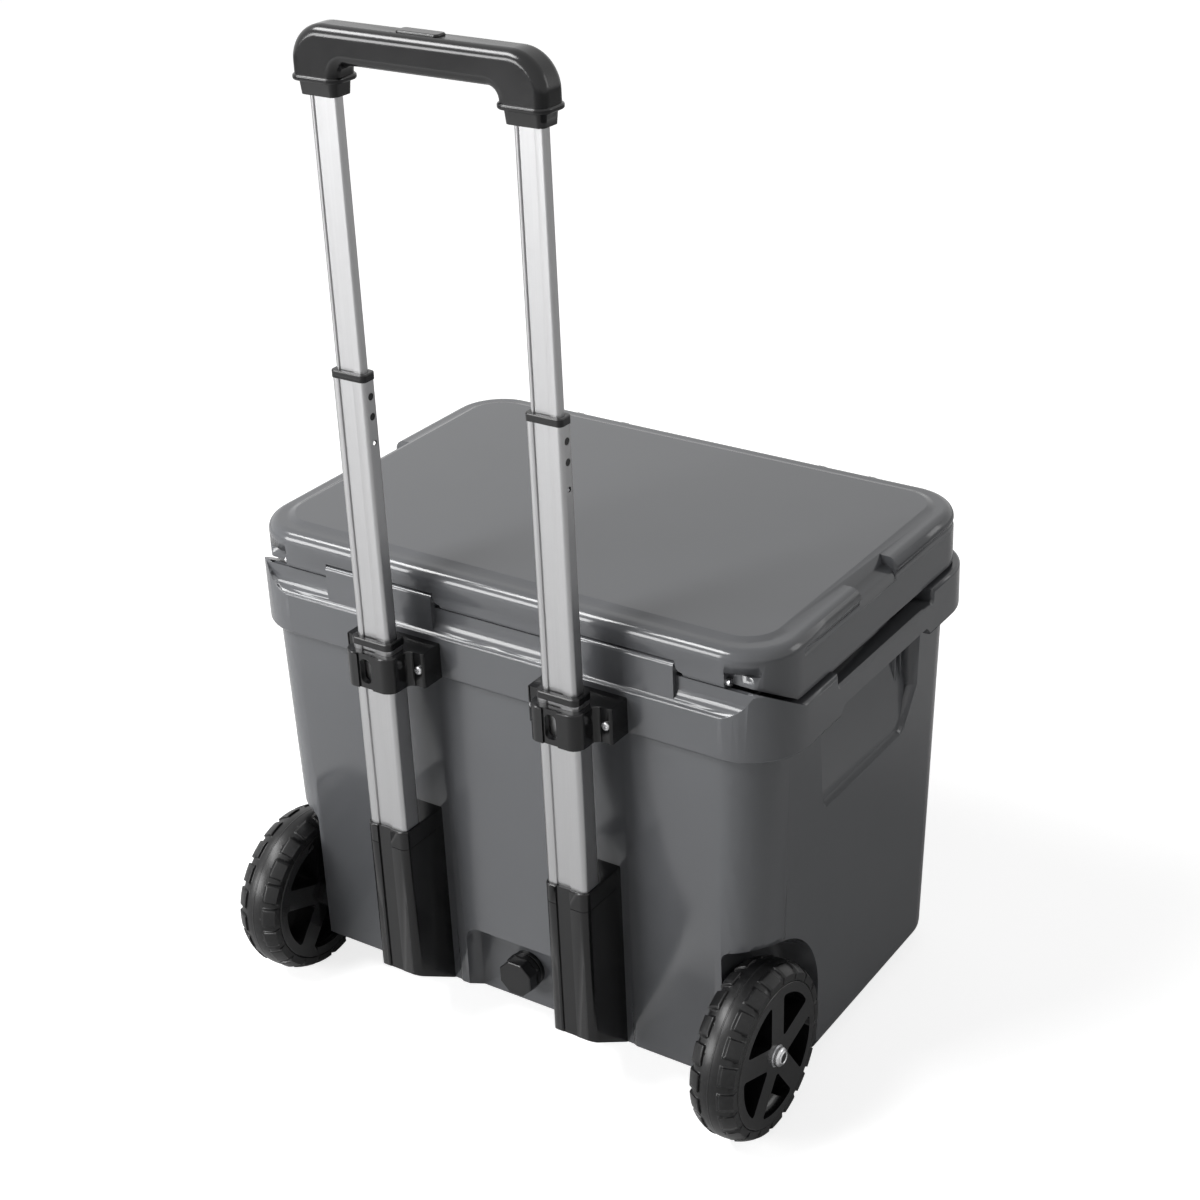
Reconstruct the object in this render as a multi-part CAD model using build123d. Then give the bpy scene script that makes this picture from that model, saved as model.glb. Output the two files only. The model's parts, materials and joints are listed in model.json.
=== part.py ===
from build123d import *
import math
import os

# Wheeled hard cooler with a two-stage telescopic pull handle.
# Millimetres. X runs across (left side +), Y from the latches (-) to the handle (+),
# Z up from the ground, with the origin under the middle of the whole object.

# ---------------------------------------------------------------- shared clearances
slip = 0.3          # between pieces that slide or swing past each other
seat_gap = 0.1      # between a pressed-in piece and its seat
pin_gap = 0.05      # radial running fit of a pin or shaft
bore_entry = 2.0    # extra depth of a blind seat
past = 1.0          # short overrun of a cutter past a face
reach = 60.0        # long overrun of a cutter out of the part

# ---------------------------------------------------------------- rim and tub
rim_half_width = 303.0
rim_back_y = 174.0
rim_depth = 410.0
rim_corner = 60.0
rim_bottom_z = 396.0
rim_face_height = 44.5      # outer face of the rim, up to its rounded top
rim_edge_round = 3.5
rim_under_round = 4.0
deck_rise = 22.0            # the back deck stands this far above the side deck
deck_slope_start = 12.0     # in from the back face
deck_slope_end = 50.5
deck_lap = 12.0             # the back deck is rooted this far down in the rim

body_side_inset = 15.5
body_back_inset = 4.5
body_front_inset = 15.5
body_corner = 48.0
body_side_taper = 11.5      # per side, over the full height
body_front_taper = 11.5
body_back_taper = -1.5
tub_bottom_z = 11.0
bottom_round = 12.0
ramp_height = 33.0          # under-cut along the bottom back edge
ramp_run = 49.0

lip_side_inset = 41.0
lip_height = 24.0           # above the side deck
lip_back_inset = 26.0
lip_front_inset = 30.0
lip_corner = 36.0
lip_root = 8.0              # the lip is rooted this far down in the rim

cavity_side_wall = 19.0     # from the lip's outer face to the cavity, at each side
cavity_back_wall = 22.0
cavity_front_wall = 25.0
cavity_taper = 14.0
cavity_end_taper = 7.0
cavity_floor_z = 58.0
cavity_corner = 38.0
cavity_floor_round = 22.0

skin = 5.0                  # plastic skin round the foam
foam_gap = 0.2

# ---------------------------------------------------------------- hinge
hinge_inset = 13.0          # axis, in from the rim's back face
hinge_z = 470.5
hinge_pin_radius = 3.5
knuckle_radius = 6.0
knuckle_swing_gap = 0.7     # radial room round the lid's knuckles
block_half_depth = 8.0      # hinge block, from the pin's middle to its faces
block_round = 4.0
block_inner_x = 70.0
block_side_inset = 107.0
knuckle_side_inset = 53.0
knuckle_root = 8.0          # the knuckles are rooted this far up in the lid
knuckle_end_gap = 3.0       # the outer knuckles end this far before the pocket's end wall
pin_inner_x = 42.0
pin_proud = 1.0
hinge_end_gap = 0.6
hinge_groove_overrun = 19.0
ledge_rise = 14.5           # foot of the wall behind the ledge, above the rim's outer face
ledge_inset = 10.0
ledge_curve = 16.0
ledge_round = 1.8           # along the ledge's outer edge
ledge_wall_round = 1.6      # along the top of the wall behind it
ledge_end_run = 45.0        # length of the ledge's end, which curves up at the rim's corner
ledge_end_lean = 0.5

# ---------------------------------------------------------------- lid
lid_side_inset = 7.0
lid_corner = 54.0
lid_gap = 3.0               # above the side deck
lid_back_lift = 4.0         # lid underside above the back deck
lid_edge_z = 503.0
lid_edge_round = 11.0
lid_crown = 3.0
crown_inset = 15.0
crown_slope = 10.0
crown_corner_ease = 4.0     # the raised panel's corners are this much rounder than the edge's
crown_round = 4.0
crown_root = 0.5
skirt_thickness = 18.0
skirt_back_inset = 20.0
lid_plate_gap = 3.0         # lid underside above the lip
groove_height = 9.0
groove_depth = 2.2
groove_drop = 15.5          # middle of the hollow, below the lid's edge
groove_start_inset = 60.0
notch_length = 72.0
notch_centre_inset = 205.0
notch_width = 20.0
notch_depth = 9.0
notch_back_lean = 3.0
notch_floor_width = 11.0
notch_floor_drop = 3.0      # fall of the notch floor towards the side
notch_foot_drop = 12.0      # the notch runs this far down the side, below its floor
notch_foot_bite = 1.4
notch_round = 5.0
recess_flare = 8.0          # rounding of the lid's edge beside a hinge block
pocket_length = 42.0
pocket_depth = 9.0
pocket_floor_length = 8.0
pocket_exit_depth = 7.0
pocket_height = 12.0
slit_height = 3.0
slit_depth = 4.0            # deeper than the pocket that it runs along
lid_foam_back_inset = 8.0
gasket_width = 6.0
gasket_height = 4.6
gasket_squeeze_gap = 0.3

# ---------------------------------------------------------------- latches
latch_x = 150.0
latch_width = 50.0
latch_pivot_out = 9.0       # pivot in front of the lid's front face
latch_pivot_z = 487.0
latch_pin_radius = 2.5
latch_barrel_radius = 6.4
latch_ear = 7.0
latch_ear_rim = 0.6         # ear's radius beyond the latch's barrel
latch_ear_root = 6.0
latch_thickness = 6.7
latch_face_out = 12.2       # outer face of the latch in front of the rim
latch_tip_z = 404.0
latch_edge = 1.5
latch_tip_chamfer = 4.0
latch_hook_z = 411.0
latch_hook_height = 7.5
latch_hook_out = 0.5        # hook tip at rest, just off the rim's face
latch_grip_inset = 9.0
latch_grip_rise = 3.0
latch_grip_height = 22.0
latch_grip_depth = 1.6
keeper_z = 420.0
keeper_pocket_height = 14.0
keeper_pocket_depth = 8.0
keeper_side_gap = 1.5
keeper_round = 3.0

# ---------------------------------------------------------------- side grab and tie-down slot
slot_start_inset = 114.0
slot_length = 190.0
slot_floor_z = 431.0        # top of the grab bar
slot_round = 3.0
slot_bevel = 3.0
bar_thickness = 19.0
passage_width = 22.0
passage_round = 5.0
bar_bottom_rise = 12.0      # grab bar underside above the rim's lower edge
scoop_start_inset = 114.5
scoop_length = 188.5
scoop_bottom_z = 297.0
scoop_lean = 7.0            # the back end wall leans in towards the foot
scoop_top_corner = 11.0     # diagonal corners beside the grab bar
scoop_front_run = 24.0      # long diagonal at the foot's front
scoop_front_rise = 38.0
scoop_round = 7.0
scoop_foot_share = 0.26     # of the wall's taper, at the scoop's foot
scoop_foot_depth = 3.0
scoop_bevel = 7.0
scoop_bevel_depth = 8.0
rib_thickness = 3.0
rib_reach = 11.0            # out from the passage's inner wall
rib_sink = 1.0              # into the wall behind it
rib_pitch = 11.0
rib_count = 2
rib_start = 5.0             # first rib, from the scoop's front end

# ---------------------------------------------------------------- wheels
wheel_radius = 86.2
wheel_inset = 12.0          # axle line, in from the rim's back face
tyre_side_inset = 8.0       # outer sidewall, in from the rim's side
tyre_width = 48.5
tyre_crown_drop = 5.5       # the tread falls away this far from its middle to its shoulders
tyre_shoulder = 5.0
tyre_side_drop = 4.0
tyre_bead = 5.5             # width of each bead beside the rim's seat
side_top_inset = 2.0        # the sidewalls lean in towards the shoulder
side_foot_inset = 1.0
lug_height = 1.3
lug_count = 20
lug_width = 14.0
lug_gap_share = 0.32        # of the pitch
lug_foot_rise = 1.0         # the lugs stop this far above the rim disc
rim_disc_radius = 71.5
tyre_seat_depth = 3.0
disc_inset = 0.3
disc_round = 1.5
spoke_count = 5
spoke_width = 22.0
spoke_turn = 88.0
spoke_corner = 3.0
pocket_rim_radius = 61.5
wheel_web = 8.0
hub_radius = 17.0
axle_radius = 5.0
axle_embed = 88.0           # length of each stub axle inside the tub
washer_radius = 11.0
washer_thickness = 1.6
cap_radius = 9.5
cap_height = 6.0
cap_wall = 2.3
cap_round = 3.0
spacer_wall = 9.0
well_depth = 63.0           # inner wall of the well, in from the rim's side
well_radius = 101.0
well_flare = 11.0
well_round = 9.0

# ---------------------------------------------------------------- drain
recess_half_width = 58.0
recess_top_z = 114.0
recess_depth = 27.0
recess_round = 16.0
drain_z = 70.0
port_radius = 12.0
port_tail = 4.0
fitting_radius = 19.0
fitting_flange = 5.0
fitting_round = 1.2
plug_radius = 20.0
plug_sides = 8
plug_flat = 18.6            # middle to flat
plug_cap_length = 17.0
plug_collar_length = 4.5
plug_round = 1.5
plug_shank_radius = 9.0
plug_shank_length = 16.0
seal_thickness = 2.4
seal_radius = 15.5

# ---------------------------------------------------------------- telescopic handle
tube_x = 104.5
tube_line_out = 33.0        # tube centre behind the rim's back face
base_tube = (44.0, 24.0, 5.0)       # width, depth, corner radius
middle_tube = (36.5, 16.0, 4.0)
inner_tube = (30.0, 10.0, 3.0)
base_wall = 1.4
middle_wall = 1.2
inner_wall = 1.2
track_width = 16.0          # sunk track along the outer face of each tube
track_offset = 2.5
base_track = 1.6
middle_track = 1.4
inner_track = 1.0
base_bottom_z = 91.0
base_proud = 5.0            # base tube above its bracket
middle_overlap = 60.0       # length of the middle tube inside the base tube
middle_length = 324.0
inner_overlap = 50.0
guide_depth = 28.0
guide_sink = 0.4
top_guide_depth = 40.0
guide_collar_height = 7.0
collar_wall = 0.9
collar_round = 1.2
glide_length = 24.0
glide_sole = 3.0
glide_hole = (30.0, 9.0, 3.0)
inner_glide_length = 9.0
inner_glide_sole = 2.0
inner_glide_hole = (24.0, 5.0, 2.0)
peg_drops = (15.0, 34.0)    # below the top of the middle tube
peg_hole_radius = 3.5
peg_length = 8.0
lock_hole_drop = 59.0
lock_hole_radius = 2.5
sight_hole_drop = 64.0
sight_hole_x = -10.7
sight_hole_radius = 3.0

channel_half_width = 31.0
channel_inset = 9.0         # channel floor, in from the rim's back face
channel_bottom_z = 30.0
channel_flare = 1.3         # sideways run of the channel's side walls per unit of depth

socket_width = 48.0
socket_wall_out = 3.0
socket_top_z = 243.0
socket_seam_drop = 20.0
socket_seam = 0.6
socket_bottom_z = 78.0
socket_slope_run = 56.0
socket_slope_drop = 38.0
socket_corner = 8.0
socket_top_round = 1.5

bracket_lift = 2.0          # above the rim's lower edge
bracket_height = 36.0
bracket_wall = 6.0
bracket_front_wall = 8.0
bracket_corner = 12.0
bracket_nook = 6.0          # concave blend from the wrap to each ear
bracket_top_round = 1.4
ear_half_span = 45.5
ear_face_out = 26.0
ear_round = 3.0
ear_groove_width = 9.0
ear_groove_depth = 1.0
ear_groove_inset = 2.5      # in from the ear's outer end
window_width = 12.0
window_height = 25.0
window_round = 4.5

# ---------------------------------------------------------------- grip
grip_outer_x = 128.0
grip_inner_x = 81.0
grip_top_z = 1016.0
grip_bar_height = 32.0
grip_depth = 32.0
grip_height = 48.0          # from the top of the bar to the foot of the legs
grip_outer_corner = 33.0
grip_inner_corner = 10.0
grip_round = 9.5
bead_height = 5.0
bead_out = 2.0
bead_round = 1.8
cuff_width = 38.0
cuff_depth = 24.0
cuff_corner = 6.0
cuff_length = 14.0
cuff_draft = 1.5
tube_insert = 8.0           # inner tube above the foot of the grip's legs
button_length = 43.0
button_width = 14.0
button_corner = 4.0
button_proud = 2.0
button_thickness = 6.0
button_round = 1.5
button_travel = 4.0
spring_room = 5.0           # below the button when it is pressed
stem_radius = 3.5
stem_gap = 0.8
yoke_drop = 22.0            # middle of the yoke below the grip's top
yoke_height = 6.0
yoke_width = 6.0
yoke_gap = 1.0
rod_radius = 1.8
rod_gap = 1.0
spring_radius = 5.6
spring_wire = 0.55
spring_turns = 4
spring_gap = 0.05
housing_lift = 7.0          # lock housing above the inner tube's foot
housing_height = 20.0
lock_pin_radius = 2.0
lock_pin_length = 9.0
lock_pin_inset = 0.5

# ---------------------------------------------------------------- feet
foot_side_inset = 98.0
foot_inset = 60.0
foot_length = 62.0
foot_width = 34.0
foot_round = 15.0
foot_edge = 2.5

# ---------------------------------------------------------------- worked-out places
rim_front_y = rim_back_y - rim_depth
rim_face_top_z = rim_bottom_z + rim_face_height
deck_z = rim_face_top_z + rim_edge_round
back_deck_z = deck_z + deck_rise
lip_half_width = rim_half_width - lip_side_inset
lip_z = deck_z + lip_height
lip_back_y = rim_back_y - lip_back_inset
lip_front_y = rim_front_y + lip_front_inset
cavity_half_width = lip_half_width - cavity_side_wall
cavity_back_y = lip_back_y - cavity_back_wall
cavity_front_y = lip_front_y + cavity_front_wall
hinge_y = rim_back_y - hinge_inset
block_outer_x = rim_half_width - block_side_inset
knuckle_outer_x = rim_half_width - knuckle_side_inset
block_swing = (block_half_depth - block_round) * math.sqrt(2) + block_round + slip
lid_half_width = rim_half_width - lid_side_inset
lid_back_y = rim_back_y - lid_side_inset
lid_front_y = rim_front_y + lid_side_inset
lid_skirt_z = deck_z + lid_gap
lid_back_z = back_deck_z + lid_back_lift
lid_under_z = lip_z + lid_plate_gap
lid_top_z = lid_edge_z + lid_crown
body_side_x = rim_half_width - body_side_inset
wheel_y = rim_back_y - wheel_inset
wheel_z = wheel_radius
tyre_outer_x = rim_half_width - tyre_side_inset
tyre_inner_x = tyre_outer_x - tyre_width
disc_outer_x = tyre_outer_x - disc_inset
disc_inner_x = tyre_inner_x + disc_inset
well_inner_x = rim_half_width - well_depth
tube_y = rim_back_y + tube_line_out
bar_inner_x = rim_half_width - bar_thickness
passage_inner_x = bar_inner_x - passage_width
bar_bottom_z = rim_bottom_z + bar_bottom_rise
scoop_foot_x = body_side_x - body_side_taper * scoop_foot_share - scoop_foot_depth
channel_y = rim_back_y - channel_inset
drain_face_y = rim_back_y - recess_depth
latch_pivot_y = lid_front_y - latch_pivot_out
bracket_bottom_z = rim_bottom_z + bracket_lift
bracket_top_z = bracket_bottom_z + bracket_height
base_top_z = bracket_top_z + base_proud
middle_bottom_z = base_top_z - middle_overlap
middle_top_z = middle_bottom_z + middle_length
inner_bottom_z = middle_top_z - inner_overlap
grip_leg_bottom_z = grip_top_z - grip_height
inner_top_z = grip_leg_bottom_z + tube_insert
yoke_z = grip_top_z - yoke_drop
button_low_z = grip_top_z + button_proud - button_thickness
spring_floor_z = button_low_z - button_travel - spring_room
housing_z = inner_bottom_z + housing_lift
lock_z = housing_z + housing_height / 2
foot_x = rim_half_width - foot_side_inset
corner_exit = math.sqrt(rim_corner ** 2 - (rim_corner - ledge_inset) ** 2)
ledge_far_x = rim_half_width - rim_corner + corner_exit + past
sides = {"left": 1, "right": -1}
wide = 2 * rim_half_width   # longer than anything across the cooler


# ================================================================ helpers
def plan(half_width, front_y, back_y, corner, z):
    """Rounded outline seen from above, at height z."""
    middle = (front_y + back_y) / 2
    return Pos(0, middle, z) * RectangleRounded(2 * half_width, back_y - front_y, corner)


def slab(half_width, front_y, back_y, corner, z_low, z_high):
    """Upright block on a rounded outline."""
    return extrude(plan(half_width, front_y, back_y, corner, z_low), z_high - z_low)


def block(x_low, x_high, y_low, y_high, z_low, z_high):
    """Square block between two corners."""
    size = (x_high - x_low, y_high - y_low, z_high - z_low)
    centre = ((x_low + x_high) / 2, (y_low + y_high) / 2, (z_low + z_high) / 2)
    return Pos(*centre) * Box(*size)


def across(face, x_low, x_high):
    """Run a (y, z) outline across the width."""
    return extrude(Plane.YZ.offset(x_low) * face, x_high - x_low)


def along(face, y_low, y_high):
    """Run an (x, z) outline from front to back."""
    return extrude(Plane.XZ.offset(-y_high) * face, y_high - y_low)


def outline(*points):
    """Closed straight-sided outline."""
    return make_face(Polyline(*points, close=True))


def rod_x(radius, x_low, x_high, y, z):
    """Round bar along X."""
    return Pos((x_low + x_high) / 2, y, z) * Rot(0, 90, 0) * Cylinder(radius, x_high - x_low)


def rod_y(radius, y_low, y_high, x, z):
    """Round bar along Y."""
    return Pos(x, (y_low + y_high) / 2, z) * Rot(90, 0, 0) * Cylinder(radius, y_high - y_low)


def rod_z(radius, z_low, z_high, x, y):
    """Round bar along Z."""
    return Pos(x, y, (z_low + z_high) / 2) * Cylinder(radius, z_high - z_low)


def ring_x(outer, inner, x_low, x_high, y, z):
    """Washer or bush along X."""
    return rod_x(outer, x_low, x_high, y, z) - rod_x(inner, x_low - past, x_high + past, y, z)


def put(side, solid):
    """A piece modelled on the left, on either side."""
    return solid if side > 0 else mirror(solid, about=Plane.YZ)


# ================================================================ tub
def body_plan(z, grow=0.0):
    """Body outline at a height, following the draft of the walls."""
    share = (rim_bottom_z - z) / (rim_bottom_z - tub_bottom_z)
    half = body_side_x - body_side_taper * share + grow
    front = rim_front_y + body_front_inset + body_front_taper * share - grow
    back = rim_back_y - body_back_inset - body_back_taper * share + grow
    return plan(half, front, back, body_corner + grow, z)


def cavity(grow=0.0):
    """Room for the contents, or the same room inside a thicker wall."""
    floor = cavity_floor_z - grow
    low = plan(
        cavity_half_width - cavity_taper + grow,
        cavity_front_y + cavity_end_taper - grow,
        cavity_back_y - cavity_end_taper + grow,
        cavity_corner,
        floor,
    )
    high = plan(
        cavity_half_width + grow, cavity_front_y - grow, cavity_back_y + grow, cavity_corner, lip_z + past
    )
    room = loft([low, high])
    return fillet(room.edges().filter_by_position(Axis.Z, floor - past, floor + past), cavity_floor_round)


def deck_line(lift=0.0):
    """(y, z) of the step that drops from the back deck to the side deck."""
    top = (rim_back_y - deck_slope_start, back_deck_z + lift)
    foot = (rim_back_y - deck_slope_end, deck_z + lift)
    return top, foot


def rim_band():
    """Rim with its raised back deck and rounded edges."""
    low = slab(rim_half_width, rim_front_y, rim_back_y, rim_corner, rim_bottom_z, deck_z)
    low = fillet(low.edges().group_by(Axis.Z)[0], rim_under_round)
    low = fillet(low.edges().group_by(Axis.Z)[-1], rim_edge_round)
    lap_z = deck_z - deck_lap
    high = slab(rim_half_width, rim_front_y, rim_back_y, rim_corner, lap_z, back_deck_z)
    high = fillet(high.edges().group_by(Axis.Z)[-1], rim_edge_round)
    top, foot = deck_line()
    rate = (top[0] - foot[0]) / deck_rise
    low_z = lap_z - past
    far_y = rim_back_y + past
    behind = outline(top, (foot[0] - (deck_z - low_z) * rate, low_z), (far_y, low_z), (far_y, top[1]))
    return low + (high & across(behind, -wide, wide))


def ledge_profile():
    """(y, z) of what is cut away above the ledge: a rounded edge, a hollow and a wall."""
    edge_y = rim_back_y - ledge_round
    wall_y = rim_back_y - ledge_inset
    lip = (edge_y, rim_face_top_z)
    heel = (wall_y, rim_face_top_z + ledge_rise)
    brow = (wall_y, back_deck_z - ledge_wall_round)
    crest = (wall_y - ledge_wall_round, back_deck_z)
    nose = (rim_back_y, rim_face_top_z - ledge_round)
    roof_z = back_deck_z + reach
    far_y = rim_back_y + reach
    return make_face(
        RadiusArc(nose, lip, -ledge_round)
        + RadiusArc(lip, heel, ledge_curve)
        + Line(heel, brow)
        + RadiusArc(brow, crest, -ledge_wall_round)
        + Polyline(crest, (crest[0], roof_z), (far_y, roof_z), (far_y, nose[1]), nose)
    )


def ledge_cut():
    """Hollow ledge along the back, under the lid's edge, with an end that curves up, left side."""
    far_x = ledge_far_x
    end_x = far_x - ledge_end_run
    low_z = rim_face_top_z - ledge_round - past
    end_z = back_deck_z + past
    roof_z = back_deck_z + reach
    sweep_up = Spline((end_x, low_z), (far_x, end_z), tangents=((1, 0), (ledge_end_lean, 1)))
    window = make_face(
        Polyline((end_x, low_z), (-past, low_z), (-past, roof_z), (far_x, roof_z), (far_x, end_z)) + sweep_up
    )
    return across(ledge_profile(), -past, wide) & along(window, rim_back_y - reach, rim_back_y + 2 * reach)


def hinge_groove():
    """Room for the lid's knuckles and back edge to turn in."""
    end_x = knuckle_outer_x + hinge_groove_overrun
    return rod_x(knuckle_radius + knuckle_swing_gap, -end_x, end_x, hinge_y, hinge_z)


def hinge_block():
    """Flat-faced hinge block moulded on the tub, left side."""
    top_z = hinge_z + block_half_depth
    height = top_z - rim_face_top_z
    face = Pos(hinge_y, top_z - height / 2) * Rectangle(2 * block_half_depth, height)
    face = fillet([v for v in face.vertices() if v.Y > hinge_z], block_round)
    return across(face, block_inner_x, block_outer_x)


def wheel_well(inner_x, grow=0.0):
    """Arched wheel well on the left, flaring outwards and open to the back."""
    faces = []
    for x, radius in ((inner_x, well_radius + grow), (rim_half_width, well_radius + well_flare + grow)):
        legs = Pos(0, -wheel_z) * Rectangle(2 * radius, 2 * wheel_z)
        faces.append(Plane.YZ.offset(x) * (Pos(wheel_y, wheel_z) * (Circle(radius) + legs)))
    tool = loft(faces, ruled=True)
    tool = tool + block(inner_x, rim_half_width, wheel_y, wheel_y + 2 * well_radius, -wheel_z, wheel_z)
    if grow:
        return tool
    inner_edges = tool.edges().filter_by_position(Axis.X, inner_x - past, inner_x + past)
    return fillet([e for e in inner_edges if e.bounding_box().max.Z > past], well_round)


def scoop_outline(grow=0.0):
    """Side view of the hand scoop: (y, z)."""
    back = rim_back_y - scoop_start_inset
    front = back - scoop_length
    top = bar_bottom_z
    face = outline(
        (back - scoop_top_corner, top),
        (back, top - scoop_top_corner),
        (back - scoop_lean, scoop_bottom_z),
        (front + scoop_front_run, scoop_bottom_z),
        (front, scoop_bottom_z + scoop_front_rise),
        (front, top - scoop_top_corner),
        (front + scoop_top_corner, top),
    )
    face = fillet(face.vertices(), scoop_round)
    return offset(face, grow) if grow else face


def hand_scoop():
    """Hand scoop, passage behind the grab bar and tie-down slot, left side."""
    back = rim_back_y - scoop_start_inset
    inside = passage_inner_x - scoop_bevel
    slope = outline(
        (inside, 0),
        (inside, slot_floor_z),
        (passage_inner_x, slot_floor_z),
        (passage_inner_x, bar_bottom_z),
        (scoop_foot_x, scoop_bottom_z),
        (scoop_foot_x, 0),
    )
    pocket = across(scoop_outline(), inside + past, rim_half_width + past)
    pocket = pocket - along(slope, back - scoop_length - past, back + past)
    low = Plane.YZ.offset(body_side_x - scoop_bevel_depth) * scoop_outline()
    high = Plane.YZ.offset(body_side_x + past) * scoop_outline(scoop_bevel + past)
    bevel = loft([low, high])
    bevel = bevel & block(0, wide, -rim_depth, rim_depth, 0, rim_bottom_z)
    start = rim_back_y - slot_start_inset
    roof_z = back_deck_z + past
    passage = block(passage_inner_x, bar_inner_x, start - slot_length, start, bar_bottom_z, roof_z)
    passage = fillet(passage.edges().filter_by(Axis.Z), passage_round)
    slot = block(passage_inner_x + past, wide, start - slot_length, start, slot_floor_z, roof_z)
    slot = fillet(slot.edges().filter_by(Axis.X), slot_round)
    low = Plane.YZ.offset(rim_half_width - slot_bevel) * slot_outline(0)
    high = Plane.YZ.offset(rim_half_width + past) * slot_outline(slot_bevel + past)
    return pocket + bevel + passage + slot + loft([low, high])


def slot_outline(grow):
    """Side view of the tie-down slot, open above: (y, z)."""
    middle = rim_back_y - slot_start_inset - slot_length / 2
    roof_z = back_deck_z + past
    height = roof_z - slot_floor_z + grow
    face = Pos(middle, roof_z - height / 2) * Rectangle(slot_length + 2 * grow, height)
    return fillet([v for v in face.vertices() if v.Y < deck_z], slot_round + grow)


def scoop_ribs():
    """Thin ribs on the scoop's sloped wall, behind the grab bar at its front end, left side."""
    outer_x = passage_inner_x + rib_reach
    drop = rib_reach * (bar_bottom_z - scoop_bottom_z) / (scoop_foot_x - passage_inner_x)
    face = outline(
        (passage_inner_x - rib_sink, bar_bottom_z),
        (outer_x, bar_bottom_z),
        (outer_x, bar_bottom_z - drop),
        (outer_x - rib_sink, bar_bottom_z - drop),
    )
    front = rim_back_y - scoop_start_inset - scoop_length
    starts = [front + rib_start + i * rib_pitch for i in range(rib_count)]
    return [along(face, start, start + rib_thickness) for start in starts]


def tube_channel(x):
    """Shallow channel down the back wall behind one tube, with slanting side walls."""
    spread = channel_half_width + channel_flare * (channel_inset + past)
    out_y = rim_back_y + past
    face = outline(
        (x - channel_half_width, channel_y),
        (x + channel_half_width, channel_y),
        (x + spread, out_y),
        (x - spread, out_y),
    )
    return extrude(Pos(0, 0, channel_bottom_z) * face, rim_bottom_z - channel_bottom_z)


def drain_recess():
    """Recess round the drain, open below."""
    face = Pos(0, (recess_top_z - reach) / 2) * Rectangle(2 * recess_half_width, recess_top_z + reach)
    face = fillet([v for v in face.vertices() if v.Y > 0], recess_round)
    return along(face, drain_face_y, rim_back_y + reach)


def foam_core(gap):
    """Foam between the skins of the tub; gap 0 gives the room it fills."""
    inset = skin + gap
    low = tub_bottom_z + inset
    scoop_low = scoop_bottom_z - scoop_bevel - inset
    core = loft([body_plan(low, -inset - past), body_plan(scoop_low, -inset)])
    ends = loft([body_plan(scoop_low - past, -inset), body_plan(rim_bottom_z, -inset)])
    half = passage_inner_x - scoop_bevel - inset - cavity_corner
    core = core + (ends & block(-half, half, rim_front_y, rim_back_y, 0, rim_bottom_z))
    core = core - cavity(inset)
    wall = channel_half_width + channel_flare * channel_inset + inset
    for side in sides.values():
        core = core - put(side, wheel_well(cavity_half_width - cavity_taper, inset))
        x = side * tube_x
        core = core - block(x - wall, x + wall, channel_y - inset, rim_back_y, 0, rim_bottom_z + past)
        axle_end = well_inner_x - axle_embed - inset
        core = core - put(side, rod_x(axle_radius + inset, axle_end, well_inner_x, wheel_y, wheel_z))
    wall = recess_half_width + inset
    core = core - block(-wall, wall, drain_face_y - inset, rim_back_y, 0, recess_top_z + inset)
    core = core - rod_y(port_radius + inset, 0, rim_back_y, 0, drain_z)
    slope = math.atan2(ramp_height, ramp_run)
    return core - back_ramp(inset / math.cos(slope) + past)


def back_ramp(lift=0.0):
    """Wedge cut from the bottom back edge so that the cooler can tip onto its wheels."""
    back = rim_back_y - body_back_inset - body_back_taper
    rate = ramp_height / ramp_run
    high = tub_bottom_z + ramp_height + lift
    near = back - ramp_run - reach
    far = back + reach
    face = outline(
        (near, high - rate * (back - near)),
        (far, high + rate * (far - back)),
        (far, -reach),
        (near, -reach),
    )
    return across(face, -wide, wide)


def keeper_pocket(x):
    """Pocket in the rim's front that a latch hook drops into."""
    half = latch_width / 2 + keeper_side_gap
    cut = block(
        x - half, x + half,
        rim_front_y - past, rim_front_y + keeper_pocket_depth,
        keeper_z - keeper_pocket_height, keeper_z,
    )
    return fillet(cut.edges().filter_by(Axis.Y), keeper_round)


def make_tub():
    body = loft([body_plan(tub_bottom_z), body_plan(rim_bottom_z)])
    bottom = body.edges().filter_by_position(Axis.Z, tub_bottom_z - past, tub_bottom_z + past)
    body = fillet(bottom, bottom_round) - back_ramp()
    for side in sides.values():
        body = body - tube_channel(side * tube_x)
    tub = body + rim_band()
    tub = tub + slab(lip_half_width, lip_front_y, lip_back_y, lip_corner, deck_z - lip_root, lip_z)
    tub = tub - cavity() - hinge_groove()
    for side in sides.values():
        tub = tub - put(side, ledge_cut())
        tub = tub + put(side, hinge_block())
        tub = tub - put(side, hand_scoop())
        for rib in scoop_ribs():
            tub = tub + put(side, rib)
        tub = tub - put(side, wheel_well(well_inner_x))
        bore = rod_x(axle_radius, well_inner_x - axle_embed, well_inner_x + well_round, wheel_y, wheel_z)
        tub = tub - put(side, bore)
        tub = tub - keeper_pocket(side * latch_x)
        pin = rod_x(hinge_pin_radius, block_inner_x - past, block_outer_x + past, hinge_y, hinge_z)
        tub = tub - put(side, pin)
    tub = tub - drain_recess()
    tub = tub - rod_y(port_radius, 0, drain_face_y + past, 0, drain_z)
    return tub - foam_core(0)


# ================================================================ lid
def lid_plan(inset, z, ease=0.0):
    """Lid outline drawn in by an inset, at height z."""
    return plan(lid_half_width - inset, lid_front_y + inset, lid_back_y - inset, lid_corner - inset + ease, z)


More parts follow.
